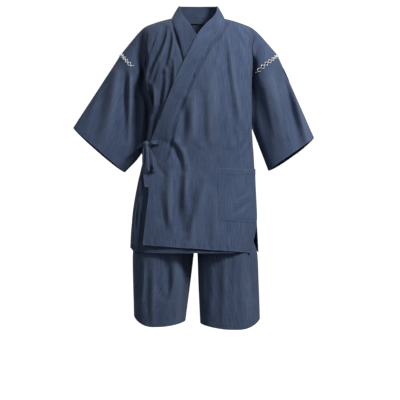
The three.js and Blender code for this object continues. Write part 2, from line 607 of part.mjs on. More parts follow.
// White cord laced in crosses over the gap, as a lattice strip. Its two faces follow the gap.
const CORD_WIDTH = 1.7;
function lacing(name) {
  const side = name === 'left' ? 1 : -1;
  const endTurn = Math.PI * (CORD_END_DROP / UNDERARM_DROP) ** (1 / ARMHOLE_EASE);
  const turns = spread(endTurn, -endTurn, 81);
  const path = new THREE.CatmullRomCurve3(turns.map((turn) => armhole(side, turn).point));
  const count = Math.round(path.getLength() / CORD_PITCH);
  const vertices = [];
  const index = [];
  // s runs along the gap in crossings, r across it from -1 to 1, k is the outer (0) or inner (1) face.
  const put = (s, r, k) => {
    const turn = mix(endTurn, -endTurn, path.getUtoTmapping(clamp01(s / count)));
    const { point: at, out, across } = armholeFrame(name, turn);
    const reach = CORD_GAP / 2 + r * (CORD_GAP / 2 - 1.5 * SEAM_GAP);
    at.addScaledVector(across, reach).addScaledVector(out, -CLOTH / 2 + (k ? -0.5 : 0.5) * CORD_THICK);
    vertices.push(at.x, at.y, at.z);
    return vertices.length / 3 - 1;
  };
  const a = CORD_WIDTH / CORD_PITCH;
  const b = 2 * CORD_WIDTH / CORD_GAP;
  const node = (s, kind) => {
    const shapes = {
      cross: [[-a, 0], [0, -b], [a, 0], [0, b]],
      low: [[-a, -1], [a, -1], [0, -1 + b]],
      high: [[a, 1], [-a, 1], [0, 1 - b]],
    };
    return shapes[kind].map(([ds, r]) => [put(s + ds, r, 0), put(s + ds, r, 1)]);
  };
  const side4 = (p, q) => index.push(p[0], p[1], q[0], q[0], p[1], q[1]);
  const flat = (...ring) => {
    for (let i = 1; i < ring.length - 1; i += 1) {
      index.push(ring[0][0], ring[i][0], ring[i + 1][0], ring[0][1], ring[i + 1][1], ring[i][1]);
    }
  };
  const crossings = Array.from({ length: count }, (_, i) => node(i + 0.5, 'cross'));
  const lows = Array.from({ length: count - 1 }, (_, i) => node(i + 1, 'low'));
  const highs = Array.from({ length: count - 1 }, (_, i) => node(i + 1, 'high'));
  crossings.forEach(([west, south, east, north], i) => {
    flat(west, south, east, north);
    if (i < count - 1) {
      const [lowWest, , lowTop] = lows[i];
      const [, highWest, highLow] = highs[i];
      flat(south, lowWest, lowTop, east);
      side4(south, lowWest);
      side4(lowTop, east);
      flat(east, highLow, highWest, north);
      side4(east, highLow);
      side4(highWest, north);
    } else {
      side4(south, east);
      side4(east, north);
    }
    if (i > 0) {
      const [, lowEast, lowTop] = lows[i - 1];
      const [highEast, , highLow] = highs[i - 1];
      flat(west, lowTop, lowEast, south);
      side4(west, lowTop);
      side4(lowEast, south);
      flat(north, highEast, highLow, west);
      side4(north, highEast);
      side4(highLow, west);
    } else {
      side4(north, west);
      side4(west, south);
    }
  });
  for (const [west, east, top] of lows) {
    flat(west, east, top);
    side4(west, east);
  }
  for (const [east, west, low] of highs) {
    flat(east, west, low);
    side4(east, west);
  }
  if (side < 0) {
    for (let i = 0; i < index.length; i += 3) [index[i + 1], index[i + 2]] = [index[i + 2], index[i + 1]];
  }
  const geometry = new THREE.BufferGeometry();
  geometry.setAttribute('position', new THREE.Float32BufferAttribute(vertices, 3));
  geometry.setIndex(index);
  geometry.computeVertexNormals();
  return geometry;
}
// Patch pocket on the outer front, with a thicker turned band along its opening.
function pocket() {
  const rows = POCKET_ROWS.map((drop, i) => POCKET_COLUMNS.map((across) => {
    const band = i < POCKET.bandRows ? POCKET.raised : 0;
    return outerFrontPoint(across, drop + outerHem(across, drop), SEAM_GAP + POCKET.thick + band);
  }));
  return wall(rows, POCKET.thick);
}

// A flat ribbon along a short curve. width points across it at each end.
function ribbon(points, widthStart, widthEnd, steps, ends = [1, 1]) {
  const curve = new THREE.CatmullRomCurve3(points.map((p) => vec(...p)), false, 'centripetal');
  const vertices = [];
  const index = [];
  for (let i = 0; i <= steps; i += 1) {
    const t = i / steps;
    const at = curve.getPointAt(t);
    const tangent = curve.getTangentAt(t);
    const wide = vec(...widthStart).lerp(vec(...widthEnd), t);
    wide.addScaledVector(tangent, -wide.dot(tangent)).normalize();
    const thick = tangent.clone().cross(wide).multiplyScalar(RIBBON.thick / 2);
    wide.multiplyScalar(mix(ends[0], ends[1], t) * RIBBON.width / 2);
    for (const [w, h] of [[-1, -1], [1, -1], [1, 1], [-1, 1]]) {
      const p = at.clone().addScaledVector(wide, w).addScaledVector(thick, h);
      vertices.push(p.x, p.y, p.z);
    }
  }
  for (let i = 0; i < steps; i += 1) {
    for (let k = 0; k < 4; k += 1) {
      const a = 4 * i + k;
      const b = 4 * i + (k + 1) % 4;
      index.push(a, b, b + 4, a, b + 4, a + 4);
    }
  }
  const last = 4 * steps;
  index.push(0, 2, 1, 0, 3, 2, last, last + 1, last + 2, last, last + 2, last + 3);
  const geometry = new THREE.BufferGeometry();
  geometry.setAttribute('position', new THREE.Float32BufferAttribute(vertices, 3));
  geometry.setIndex(index);
  geometry.computeVertexNormals();
  return geometry;
}

// The tie's bow, at the wearer's right side of the waist.
const STRAP = { off: 2, sideDrop: 430 };
const KNOT = { x: -166, y: -107, z: -414, wide: 10, deep: 8, high: 9 };
function knot() {
  const geometry = new THREE.SphereGeometry(1, 14, 9);
  geometry.scale(KNOT.wide, KNOT.deep, KNOT.high);
  geometry.translate(KNOT.x, KNOT.y, KNOT.z);
  return geometry;
}
function addTie() {
  const { x, y, z } = KNOT;
  addPiece('tie_knot', knot(), DENIM);
  // The front strap is sewn to the collar band, and the side strap into the side seam.
  const onCollar = (at, drop, off) => outerFrontPoint(acrossAt(at, drop), drop, COLLAR_PROUD + off).toArray();
  const sideSeam = bodySurface('front', -1, STRAP.sideDrop).x;
  addPiece('tie_strap_front', ribbon(
    [onCollar(-116, 409, STRAP.off), onCollar(-131, 410, STRAP.off + 1), [-145, -117, -411],
      [x + 10.4, y - 1, z]],
    [0, 0, 1], [0, 0, 1], 8, [1, 0.55]), DENIM);
  addPiece('tie_strap_side', ribbon(
    [[sideSeam - STRAP.off - 0.5, -1, -STRAP.sideDrop], [sideSeam - 20, -30, z - 15],
      [-192, -72, z - 8], [x - 8.7, y + 5.4, z]],
    [0, 0, 1], [0, 0, 1], 10, [1, 0.55]), DENIM);
  addPiece('tie_loop_small', ribbon(
    [[x - 5, y + 2, z - 8.2], [x - 12, y + 3, z - 26], [x - 4, y + 2, z - 46], [x + 5, y + 2, z - 30],
      [x - 0.5, y + 2, z - 9.6]],
    [0.2, 1, 0], [0.2, 1, 0], 14, [0.5, 0.5]), DENIM);
  addPiece('tie_loop_long', ribbon(
    [[x + 1.5, y - 9, z - 4.4], [x + 4, y - 19, z - 40], [x + 6, y - 20, z - 84], [x + 8, y - 15, z - 88],
      [x + 7, y - 13, z - 50], [x + 4, y - 10, z - 16]],
    [1, 0.1, 0], [1, 0.1, 0], 16, [0.5, 0.5]), DENIM);
  addPiece('tie_tail_long', ribbon(
    [[x - 4.2, y - 3.8, z - 8.2], [x - 8, y - 9, z - 44], [x - 4, y - 8, z - 90], [x + 3, y - 11, z - 138]],
    [1, 0.1, 0], [1, 0, 0], 9, [0.5, 1]), DENIM);
  addPiece('tie_tail_short', ribbon(
    [[x + 4.5, y - 2.5, z - 8], [x + 22, y - 10, z - 40], [x + 32, y - 13, z - 84]],
    [1, 0.2, 0.2], [1, 0.2, 0.3], 7, [0.5, 1]), DENIM);
}

// Shorts: half a hip section above the crotch turns into half a leg below it. s runs from the inner
// edge (centre seam, then inseam) to the side seam.
const SHORTS_POWER = 0.82;       // below 1 makes the sections squarer than an oval
function shortsPoint(side, face, s, z) {
  const value = (name) => column(SHORTS, 'z', name, z);
  const outerX = value(side);
  const innerX = value(`${side}In`);
  const depth = value(face);
  const centre = SHORTS_MIDDLE + (side === 'left' ? 0.01 : -0.01);
  const hipTurn = s * Math.PI / 2;
  const hipX = mix(centre, outerX, Math.sin(hipTurn) ** SHORTS_POWER);
  const hipY = depth * Math.max(0, Math.cos(hipTurn)) ** SHORTS_POWER;
  const legTurn = Math.PI * s ** 0.85;
  const legX = (innerX + outerX) / 2 - (outerX - innerX) / 2 * Math.sign(Math.cos(legTurn))
    * Math.abs(Math.cos(legTurn)) ** SHORTS_POWER;
  const legY = depth * Math.max(0, Math.sin(legTurn)) ** SHORTS_POWER;
  const opened = clamp01((SHORTS_RISE_BEND - z) / (SHORTS_RISE_BEND - CROTCH)) ** 1.8;
  const fold = foldDepth(SHORTS_FOLDS, mix(hipX, legX, opened), z) * clamp01(Math.abs(legY) / 60);
  return vec(mix(hipX, legX, opened), mix(hipY, legY, opened) - Math.sign(depth) * fold, z);
}
const SHORTS_HEM = -1000;        // the shorts' rows end here before the hem's own curve
const SHORTS_ROWS = [
  WAISTBAND.bottom - SEAM_GAP, -540, -580, -620, -655, -682, -704, -722, -735,
  CROTCH, -760, -800, -860, -920, -965, SHORTS_HEM,
];
function legPanel(side, face) {
  const hem = LEG_HEMS[side];
  const rows = SHORTS_ROWS.map((z) => spread(0, 1, 11).map((s) => {
    const nearInner = s < 0.5;
    const low = nearInner
      ? mix(hem.inner, hem[face], ramp(0, 0.5, s))
      : mix(hem[face], hem.outer, ramp(0.5, 1, s));
    const p = shortsPoint(side, face, s, z);
    p.z += (low - SHORTS_HEM) * ramp(-800, SHORTS_HEM, z);
    return p;
  }));
  return wall(rows, CLOTH, { back: (side === 'left') === (face === 'back') });
}

// Elastic waistband, gathered all round.
function waistband() {
  const columns = WAISTBAND.gathers * 4;
  const rows = [WAISTBAND.top, (WAISTBAND.top + WAISTBAND.bottom) / 2, WAISTBAND.bottom].map((z) => (
    Array.from({ length: columns }, (_, j) => {
      const turn = 2 * Math.PI * j / columns;
      const wave = WAISTBAND.wave * Math.cos(turn * WAISTBAND.gathers);
      return vec(
        -2 + (WAISTBAND.width + wave) * Math.sign(Math.cos(turn)) * Math.abs(Math.cos(turn)) ** SHORTS_POWER,
        (WAISTBAND.depth + wave) * Math.sign(Math.sin(turn)) * Math.abs(Math.sin(turn)) ** SHORTS_POWER,
        z,
      );
    })
  ));
  return wall(rows, CLOTH, { around: true, back: true });
}

addPiece('back', backPanel(), DENIM);
addPiece('front_outer', outerFront(), DENIM);
addPiece('front_inner', innerFront(), DENIM_SHADE);
addPiece('collar_outer', collarHalf(OUTER_COLLAR, 1, outerFrontPoint), DENIM);
addPiece('collar_inner', collarHalf(INNER_COLLAR, -1, innerFrontPoint), DENIM_SHADE);
addPiece('sleeve_left', sleeve('left', LEFT_SLEEVE_FOLDS), DENIM);
addPiece('sleeve_right', sleeve('right', RIGHT_SLEEVE_FOLDS), DENIM);
addPiece('lacing_left', lacing('left'), WHITE_CORD);
addPiece('lacing_right', lacing('right'), WHITE_CORD);
addPiece('pocket', pocket(), DENIM);
addTie();
for (const side of ['left', 'right']) {
  for (const face of ['front', 'back']) addPiece(`shorts_${face}_${side}`, legPanel(side, face), DENIM);
}
addPiece('shorts_waistband', waistband(), DENIM);

export default part;
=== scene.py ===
# %% [markdown]
# A jinbei is a summer set of two garments: a short jacket whose fronts cross over and are tied at the side,
# and a pair of loose shorts. Its sleeves are laced to the body with white cord. The set is dressed here
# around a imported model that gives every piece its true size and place, so the first step loads that frame.
# %% Load the frame
import bpy
import json
import math
import numpy as np
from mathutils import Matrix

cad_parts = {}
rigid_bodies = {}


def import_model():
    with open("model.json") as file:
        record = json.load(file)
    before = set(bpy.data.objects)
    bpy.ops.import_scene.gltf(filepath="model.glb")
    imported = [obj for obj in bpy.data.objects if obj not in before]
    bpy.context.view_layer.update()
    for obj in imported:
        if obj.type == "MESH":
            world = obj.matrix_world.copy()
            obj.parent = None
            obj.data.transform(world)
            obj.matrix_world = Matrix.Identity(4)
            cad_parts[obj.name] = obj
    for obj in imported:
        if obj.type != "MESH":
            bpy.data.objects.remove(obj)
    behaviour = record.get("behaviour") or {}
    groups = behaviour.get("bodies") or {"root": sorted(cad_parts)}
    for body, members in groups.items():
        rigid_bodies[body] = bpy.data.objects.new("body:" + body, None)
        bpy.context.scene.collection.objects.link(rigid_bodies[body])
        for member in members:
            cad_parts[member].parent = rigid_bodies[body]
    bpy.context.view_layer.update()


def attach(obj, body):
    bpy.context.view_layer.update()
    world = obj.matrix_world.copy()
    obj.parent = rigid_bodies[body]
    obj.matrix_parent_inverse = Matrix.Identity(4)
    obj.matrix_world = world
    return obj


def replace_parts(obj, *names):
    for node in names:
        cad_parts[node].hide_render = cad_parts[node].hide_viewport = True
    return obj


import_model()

# %% [markdown]
# The set hangs in the air as if it were worn, and the camera looks at it straight from the front, level with
# the hem of the jacket. Its distance and its lens give the same small perspective as the photograph.
# %% Camera
MM = 0.001                       # tables below are in millimetres, and Blender works in metres
CAMERA_PLACE = (0.0066, -3.6, -0.594)
SEEN_WIDTH = 1.32                # how much the picture shows across, where the garment hangs
SENSOR = 36.0


def add_camera():
    bpy.ops.object.camera_add(location=CAMERA_PLACE, rotation=(math.pi / 2, 0, 0))
    camera = bpy.context.object
    camera.data.sensor_width = SENSOR
    camera.data.lens = SENSOR * -CAMERA_PLACE[1] / SEEN_WIDTH
    bpy.context.scene.camera = camera
    print("lens in millimetres:", round(camera.data.lens, 1))


add_camera()

# %% [markdown]
# The studio is a pale round floor that curves up into a wall all round, so that no edge shows behind the
# thing from any side. It is one grid: its columns are turned into a full circle, and its far rows are lifted
# along a quarter circle. It stands far below the shorts.
# %% Studio floor and wall
FLOOR = {"z": -1.45, "flat": 5.0, "radius": 1.5, "top": 5.0}


def add_studio():
    bpy.ops.object.select_all(action="DESELECT")
    bpy.ops.mesh.primitive_grid_add(x_subdivisions=72, y_subdivisions=40, size=1)
    studio = bpy.context.object
    studio.name = "studio"
    curve = FLOOR["radius"] * math.pi / 2
    rise = FLOOR["top"] - FLOOR["z"] - FLOOR["radius"]
    for vertex in studio.data.vertices:
        run = (vertex.co.y + 0.5) * (FLOOR["flat"] + curve + rise)
        turn = min(max(run - FLOOR["flat"], 0), curve) / FLOOR["radius"]
        out = min(run, FLOOR["flat"]) + FLOOR["radius"] * math.sin(turn)
        angle = vertex.co.x * 2 * math.pi
        height = FLOOR["radius"] * (1 - math.cos(turn)) + max(0, run - FLOOR["flat"] - curve)
        vertex.co = (out * math.cos(angle), out * math.sin(angle), FLOOR["z"] + height)
    bpy.ops.object.shade_smooth()
    studio.visible_diffuse = False
    studio.visible_glossy = False
    return studio


studio = add_studio()
print("floor height:", FLOOR["z"])

# %% [markdown]
# Soft light comes from large panels: a strong one high at the right, which shows the folds, a weak one at the
# left, one above and one behind for the back of the garment. A pale world fills the rest.
# %% Lights
LIGHTS = [
    {"name": "key", "place": (1.5, -1.8, 1.20), "size": 0.7, "power": 100},
    {"name": "fill", "place": (-1.5, -2.8, 0.6), "size": 1.6, "power": 12},
    {"name": "top", "place": (0.4, -0.2, 2.0), "size": 1.0, "power": 12},
    {"name": "behind", "place": (-1.3, 2.4, 0.9), "size": 1.4, "power": 46},
]
LIT_POINT = (0.0, 0.0, -0.45)
WORLD_COLOUR = (0.94, 0.96, 1.0, 1.0)
WORLD_STRENGTH = 0.17


def add_lights():
    for light in LIGHTS:
        bpy.ops.object.light_add(type="AREA", location=light["place"])
        lamp = bpy.context.object
        lamp.name = light["name"]
        lamp.data.shape = "SQUARE"
        lamp.data.size = light["size"]
        lamp.data.energy = light["power"]
        aim = [a - b for a, b in zip(light["place"], LIT_POINT)]
        level = math.hypot(aim[0], aim[1])
        lamp.rotation_euler = (math.atan2(level, aim[2]), 0, math.atan2(aim[0], -aim[1]))
    world = bpy.data.worlds.new("studio_air")
    world.use_nodes = True
    air = world.node_tree.nodes["Background"]
    air.inputs["Color"].default_value = WORLD_COLOUR
    air.inputs["Strength"].default_value = WORLD_STRENGTH
    bpy.context.scene.world = world
    bpy.context.scene.view_settings.view_transform = "Standard"


add_lights()
print("lights:", [light["name"] for light in LIGHTS])

# %% [markdown]
# Shader maths reads best as ordinary sums. This class holds one socket of a node tree, and the signs
# + - * / on it add the Math nodes. Any other node comes from its method node.
# %% Sums for shaders
class Wire:
    """A socket of a shader tree that Python's own signs can calculate with."""

    def __init__(self, tree, socket=None):
        self.tree = tree
        self.socket = socket

    def node(self, kind, settings=None, values=None, out=0):
        made = self.tree.nodes.new(kind)
        for name, value in (settings or {}).items():
            if name == "stops":
                ramp = made.color_ramp
                while len(ramp.elements) < len(value):
                    ramp.elements.new(0.5)
                for element, (place, colour) in zip(ramp.elements, value):
                    element.position = place
                    element.color = colour
            else:
                setattr(made, name, value)
        for key, value in (values or {}).items():
            if isinstance(value, Wire):
                self.tree.links.new(value.socket, made.inputs[key])
            else:
                made.inputs[key].default_value = value
        return Wire(self.tree, made.outputs[out])

    def math(self, operation, *values):
        return self.node("ShaderNodeMath", {"operation": operation}, dict(enumerate(values)))

    def __add__(self, other):
        return self.math("ADD", self, other)

    def __radd__(self, other):
        return self.math("ADD", other, self)

    def __sub__(self, other):
        return self.math("SUBTRACT", self, other)

    def __rsub__(self, other):
        return self.math("SUBTRACT", other, self)

    def __mul__(self, other):
        return self.math("MULTIPLY", self, other)

    def __rmul__(self, other):
        return self.math("MULTIPLY", other, self)

    def __truediv__(self, other):
        return self.math("DIVIDE", self, other)

    def between(self, low, high):
        """0 below low, 1 above high, with a soft change between."""
        return self.node(
            "ShaderNodeMapRange", {"interpolation_type": "SMOOTHSTEP"},
            {"Value": self, "From Min": low, "From Max": high},
        )

    def blend(self, first, second):
        """Colour between first, where this value is 0, and second, where it is 1."""
        return self.node(
            "ShaderNodeMix", {"data_type": "RGBA", "clamp_factor": True},
            {0: self, 6: first, 7: second}, out=2,
        )


def new_material(name):
    material = bpy.data.materials.new(name)
    material.use_nodes = True
    tree = material.node_tree
    return material, Wire(tree), tree.nodes["Principled BSDF"]


def join(start, shader, socket, wire):
    start.tree.links.new(wire.socket, shader.inputs[socket])


print("shader sums ready")

# %% [markdown]
# The cloth is a plain cotton weave, dyed indigo. Its warp yarns are uneven, which draws fine pale and dark
# streaks down every panel, and its weft adds fainter ones across. The streaks follow each piece's own flat
# cut, so they are drawn on its UV map, which is in metres. Along hems the dye has rubbed lighter. The ridges
# of folds are made paler too: a painted highlight, with a little rubbed dye. A copy of the cloth, darker
# all over, is a painted shadow on the layers that lie under the outer front.
# %% Indigo cloth
STITCH_LINE = 18.0               # hems are sewn this far from their edge, in millimetres
CLOTH_TONES = {
    "dark": (0.0255, 0.040, 0.078, 1),
    "mid": (0.0445, 0.066, 0.122, 1),
    "pale": (0.075, 0.106, 0.178, 1),
    # The palest tone serves both rubbed dye at hems and a painted highlight on fold ridges.
    "worn_and_highlit": (0.112, 0.148, 0.220, 1),
}
YARN = 0.0007                    # one thread of the weave, in metres


def streaks(start, uv, across, along, seed, detail=2.0):
    """Noise stretched along the cloth: across and along are how many bands lie in one metre."""
    place = start.node(
        "ShaderNodeMapping", None,
        {"Vector": uv, "Location": (seed, seed * 0.7, 0), "Scale": (across, along, 1)},
    )
    return start.node(
        "ShaderNodeTexNoise", {"noise_dimensions": "2D"},
        {"Vector": place, "Scale": 1.0, "Detail": detail, "Roughness": 0.6},
    )


def cloth_material(name, painted_shadow=1.0, seed=0.0):
    material, start, shader = new_material(name)
    uv = start.node("ShaderNodeUVMap", {"uv_map": "cut"})
    edge = start.node("ShaderNodeAttribute", {"attribute_name": "edge"}, out=2)
    worn_and_highlit = start.node("ShaderNodeAttribute", {"attribute_name": "ridge"}, out=2)
    warp = streaks(start, uv, 900, 22, seed)
    slub = streaks(start, uv, 330, 15, seed + 3, detail=3.0)
    weft = streaks(start, uv, 22, 600, seed + 7)
    cloud = streaks(start, uv, 12, 8, seed + 11, detail=4.0)
    tone = warp * 0.52 + slub * 0.32 + weft * 0.16 + (cloud - 0.5) * 0.20
    base_colour = tone.between(0.28, 0.54).blend(CLOTH_TONES["dark"], CLOTH_TONES["mid"])
    base_colour = tone.between(0.46, 0.78).blend(base_colour, CLOTH_TONES["pale"])
    # Near a finished edge the colour is paler from rubbed dye; where the ridge attribute is high it is paler
    # as a painted highlight on fold ridges.
    fade_and_highlight = (1 - edge.between(0.0006, 0.0032)) * 0.30 + worn_and_highlit * 0.22
    base_colour = fade_and_highlight.blend(base_colour, CLOTH_TONES["worn_and_highlit"])
    # Below 1 this darkens the whole colour: a darker copy of the cloth is a painted shadow for layers that
    # lie under others.
    if painted_shadow != 1.0:
        base_colour = start.node("ShaderNodeMix", {"data_type": "RGBA", "blend_type": "MULTIPLY"},
                          {0: 1.0, 6: base_colour, 7: (painted_shadow, painted_shadow, painted_shadow, 1)}, out=2)
    join(start, shader, "Base Color", base_colour)
    join(start, shader, "Roughness", 0.86 + warp * 0.12)
    across, along = (start.node("ShaderNodeSeparateXYZ", None, {"Vector": uv}, out=i) for i in (0, 1))
    weave = start.math("SINE", across * (math.pi / YARN)) * start.math("SINE", along * (math.pi / YARN))
    height = weave * 0.00005 + warp * 0.00014 + slub * 0.00014 + weft * 0.00010
    bump = start.node("ShaderNodeBump", None, {"Height": height, "Strength": 0.8, "Distance": 1.0})
    join(start, shader, "Normal", bump)
    shader.inputs["Sheen Weight"].default_value = 0.05
    shader.inputs["Sheen Roughness"].default_value = 0.7
    shader.inputs["Specular IOR Level"].default_value = 0.08
    return material


INDIGO = cloth_material("indigo_cotton")
# A darker copy of the same cloth, 0.76 as bright: a painted shadow for the inner front and the inner collar
# band, the layer under the outer front on the darker side.
INDIGO_PAINTED_SHADOW = cloth_material("indigo_cotton_painted_shadow", painted_shadow=0.76, seed=23.0)
print("cloth materials:", INDIGO.name, INDIGO_PAINTED_SHADOW.name)

# %% [markdown]
# The lacing is a round cotton cord, off-white, laid from three strands. The turns of the strands are only
# bump, because they are finer than a grain of rice. The sewing thread is indigo, a little paler than the
# cloth.
# %% Cord and thread
def plain_thread(name, low, high, turns):
    material, start, shader = new_material(name)
    place = start.node("ShaderNodeTexCoord", None, None, out=3)
    mottle = start.node("ShaderNodeTexNoise", None, {"Vector": place, "Scale": 900.0, "Detail": 2.0})
    join(start, shader, "Base Color", mottle.between(0.35, 0.65).blend(low, high))
    strands = start.node(
        "ShaderNodeTexWave", {"wave_type": "BANDS", "bands_direction": "DIAGONAL"},
        {"Vector": place, "Scale": turns, "Distortion": 0.6},
        out=1,
    )
    bump = start.node("ShaderNodeBump", None, {"Height": strands * 0.0002, "Strength": 0.7, "Distance": 1.0})
    join(start, shader, "Normal", bump)
    shader.inputs["Roughness"].default_value = 0.75
    shader.inputs["Sheen Weight"].default_value = 0.15
    return material


CORD = plain_thread("white_cord", (0.66, 0.65, 0.61, 1), (0.90, 0.89, 0.86, 1), 380.0)
THREAD = plain_thread("indigo_thread", (0.050, 0.070, 0.118, 1), (0.095, 0.125, 0.190, 1), 900.0)
print("cord and thread:", CORD.name, THREAD.name)

# %% [markdown]
# The studio's paper is nearly white. It glows a little, so that it shows as plain white behind the cloth.
# %% Studio paper
STUDIO_GLOW = 0.85


def studio_material():
    material, start, shader = new_material("studio_paper")
    place = start.node("ShaderNodeTexCoord", None, None, out=3)
    grain = start.node("ShaderNodeTexNoise", None, {"Vector": place, "Scale": 60.0, "Detail": 3.0})
    join(start, shader, "Base Color", grain.blend((0.90, 0.90, 0.90, 1), (0.94, 0.94, 0.94, 1)))
    shader.inputs["Roughness"].default_value = 0.9
    shader.inputs["Emission Color"].default_value = (1.0, 1.0, 1.0, 1)
    shader.inputs["Emission Strength"].default_value = STUDIO_GLOW
    return material


studio.data.materials.append(studio_material())
print("glow of the studio paper:", STUDIO_GLOW)

# %% [markdown]
# Every panel is a stretch of one form: the jacket as it hangs when it is worn. A few level sections describe
# it, from the shoulder line (drop 0) to the hem, and a smooth curve through their values gives all the
# levels between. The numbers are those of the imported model, so that each panel lies on its solid.
# %% Sections of the jacket
def table(columns, rows):
    """Rows of numbers as one array for each named column."""
    names = columns.split()
    return {name: np.array([row[i] for row in rows], float) for i, name in enumerate(names)}


MIDDLE = table("drop front frontZ back backZ", [
    [  0,    0,   12,   0,   14],
    [ 10,  -30,    5,  34,   15],
    [ 40,  -64,  -22,  72,    8],
    [ 90,  -91,  -78,  99,  -45],
    [150, -111, -145, 110, -128],
    [210, -121, -208, 114, -203],
    [270, -125, -271, 115, -270],
    [340, -124, -341, 112, -341],
    [400, -120, -400, 107, -400],
    [450, -117, -450, 105, -450],
    [530, -119, -530, 111, -530],
    [610, -125, -610, 121, -610],
    [695, -131, -695, 131, -695],
    [765, -136, -765, 139, -765],
])
HALF_COLUMNS = "drop cornerX cornerY cornerZ tuckX tuckY tuckZ edgeX edgeY edgeZ"
LEFT_HALF = table(HALF_COLUMNS, [
    [  0, 165,   0,  -20, 198,   0,  -43, 262,   0, -115],
    [ 10, 166, -25,  -26, 197, -13,  -47, 256, -22, -120],
    [ 40, 168, -52,  -52, 193, -25,  -68, 240, -45, -135],
    [ 90, 170, -69,  -98, 188, -30, -108, 216, -56, -153],
    [150, 171, -79, -152, 182, -34, -160, 193, -49, -176],
    [210, 172, -84, -212, 176, -42, -212, 178, -27, -216],
    [270, 172, -86, -276, 174, -44, -276, 173, -14, -278],
    [340, 172, -83, -343, 175, -42, -343, 174,   0, -343],
    [400, 173, -79, -400, 177, -38, -400, 178,   0, -400],
    [450, 177, -76, -450, 182, -38, -450, 183,   0, -450],
    [530, 180, -78, -530, 186, -38, -530, 187,   0, -530],
    [610, 183, -83, -610, 190, -40, -610, 191,   0, -610],
    [695, 186, -88, -695, 195, -42, -695, 196,   0, -695],
    [765, 188, -92, -765, 199, -44, -765, 200,   0, -765],
])
RIGHT_HALF = table(HALF_COLUMNS, [
    [  0, 160,   0,  -16, 191,   0,  -37, 254,   0, -112],
    [ 10, 162, -25,  -23, 191, -13,  -42, 249, -21, -118],
    [ 40, 167, -52,  -50, 189, -25,  -64, 236, -43, -134],
    [ 90, 170, -69,  -97, 186, -30, -106, 214, -54, -158],
    [150, 171, -79, -151, 181, -34, -160, 192, -48, -183],
    [210, 168, -84, -212, 173, -42, -213, 177, -27, -219],
    [270, 158, -86, -276, 165, -43, -277, 168, -14, -280],
    [340, 155, -83, -345, 162, -41, -345, 164,   0, -345],
    [400, 161, -79, -400, 168, -38, -400, 170,   0, -400],
    [450, 170, -76, -450, 177, -38, -450, 179,   0, -450],
    [530, 186, -78, -530, 195, -38, -530, 197,   0, -530],
    [610, 199, -82, -610, 209, -40, -610, 211,   0, -610],
    [695, 207, -86, -695, 219, -42, -695, 221,   0, -695],
    [765, 210, -90, -765, 222, -44, -765, 224,   0, -765],
])
CORNER = 0.66                    # share of a row between the middle and the chest corner
CORNER_ROUNDING = 2.6            # how late the chest turns back towards its corner
HEM_DROP = 765.0
SLANT_DROP = 560.0               # below this drop the rows take the slant of the hem
SLIT_DROP = 640.0
SEAM_GAP = 0.3


def ramp(low, high, at):
    """0 before low, 1 after high, with a soft start and end."""
    t = np.clip((np.asarray(at, float) - low) / (high - low), 0, 1)
    return t * t * (3 - 2 * t)


def mix(a, b, t):
    return a + (b - a) * t


def column(rows, key, name, at):
    """Smooth value of one column of a table at places along its key column."""
    keys, values = rows[key], rows[name]
    at = np.asarray(at, float)
    if keys[-1] < keys[0]:
        keys, at = -keys, -at
    last = len(keys) - 1
    here = np.arange(last + 1)
    low, high = np.maximum(here - 1, 0), np.minimum(here + 1, last)
    slope = (values[high] - values[low]) / (keys[high] - keys[low])
    i = np.clip(np.searchsorted(keys, at) - 1, 0, last - 1)
    span = keys[i + 1] - keys[i]
    t = np.clip((at - keys[i]) / span, 0, 1)
    t2, t3 = t * t, t * t * t
    return ((2 * t3 - 3 * t2 + 1) * values[i] + (t3 - 2 * t2 + t) * span * slope[i]
            + (3 * t2 - 2 * t3) * values[i + 1] + (t3 - t2) * span * slope[i + 1])


def xyz(x, y, z):
    return np.stack(np.broadcast_arrays(x, y, z), axis=-1).astype(float)


def unit(v):
    return v / np.maximum(np.linalg.norm(v, axis=-1, keepdims=True), 1e-9)


def hermite(p, q, m, n, t):
    t = np.asarray(t)[..., None]
    t2, t3 = t * t, t * t * t
    return (2 * t3 - 3 * t2 + 1) * p + (t3 - 2 * t2 + t) * m + (3 * t2 - 2 * t3) * q + (t3 - t2) * n


def half_value(name, across, drop):
    return np.where(across < 0, column(RIGHT_HALF, "drop", name, drop), column(LEFT_HALF, "drop", name, drop))


def body_surface(face, across, drop):
    """Points of the jacket. across runs from -1 (wearer's right edge) over 0 to 1 (wearer's left edge)."""
    across, drop = np.broadcast_arrays(np.asarray(across, float), np.asarray(drop, float))
    side = np.where(across < 0, -1.0, 1.0)
    middle_y = column(MIDDLE, "drop", face, drop)
    middle_z = column(MIDDLE, "drop", face + "Z", drop)
    front_y = column(MIDDLE, "drop", "front", drop)
    turn = 1.0 if face == "front" else -(abs(middle_y) + 1) / (abs(front_y) + 1)
    value = lambda name: half_value(name, across, drop)
    corner = xyz(side * value("cornerX"), turn * value("cornerY"), value("cornerZ"))
    tuck = xyz(side * value("tuckX"), turn * value("tuckY"), value("tuckZ"))
    edge = xyz(side * value("edgeX"), turn * np.minimum(0, value("edgeY")), value("edgeZ"))

    def chest(t):
        return xyz(corner[..., 0] * t, mix(middle_y, corner[..., 1], t ** CORNER_ROUNDING),
                   mix(middle_z, corner[..., 2], t * t))

    share = abs(across) / CORNER
    part = 2 * (abs(across) - CORNER) / (1 - CORNER)
    apart = np.linalg.norm(corner - tuck, axis=-1, keepdims=True)
    out = unit(corner - chest(np.full_like(share, 0.96))) * 0.5 * apart
    along = (edge - corner) * 0.5
    near = hermite(corner, tuck, out, along, np.clip(part, 0, 1))
    far = hermite(tuck, edge, along, edge - tuck, np.clip(part - 1, 0, 1))
    side_part = np.where((part <= 1)[..., None], near, far)
    return np.where((share <= 1)[..., None], chest(np.minimum(share, 1)), side_part)


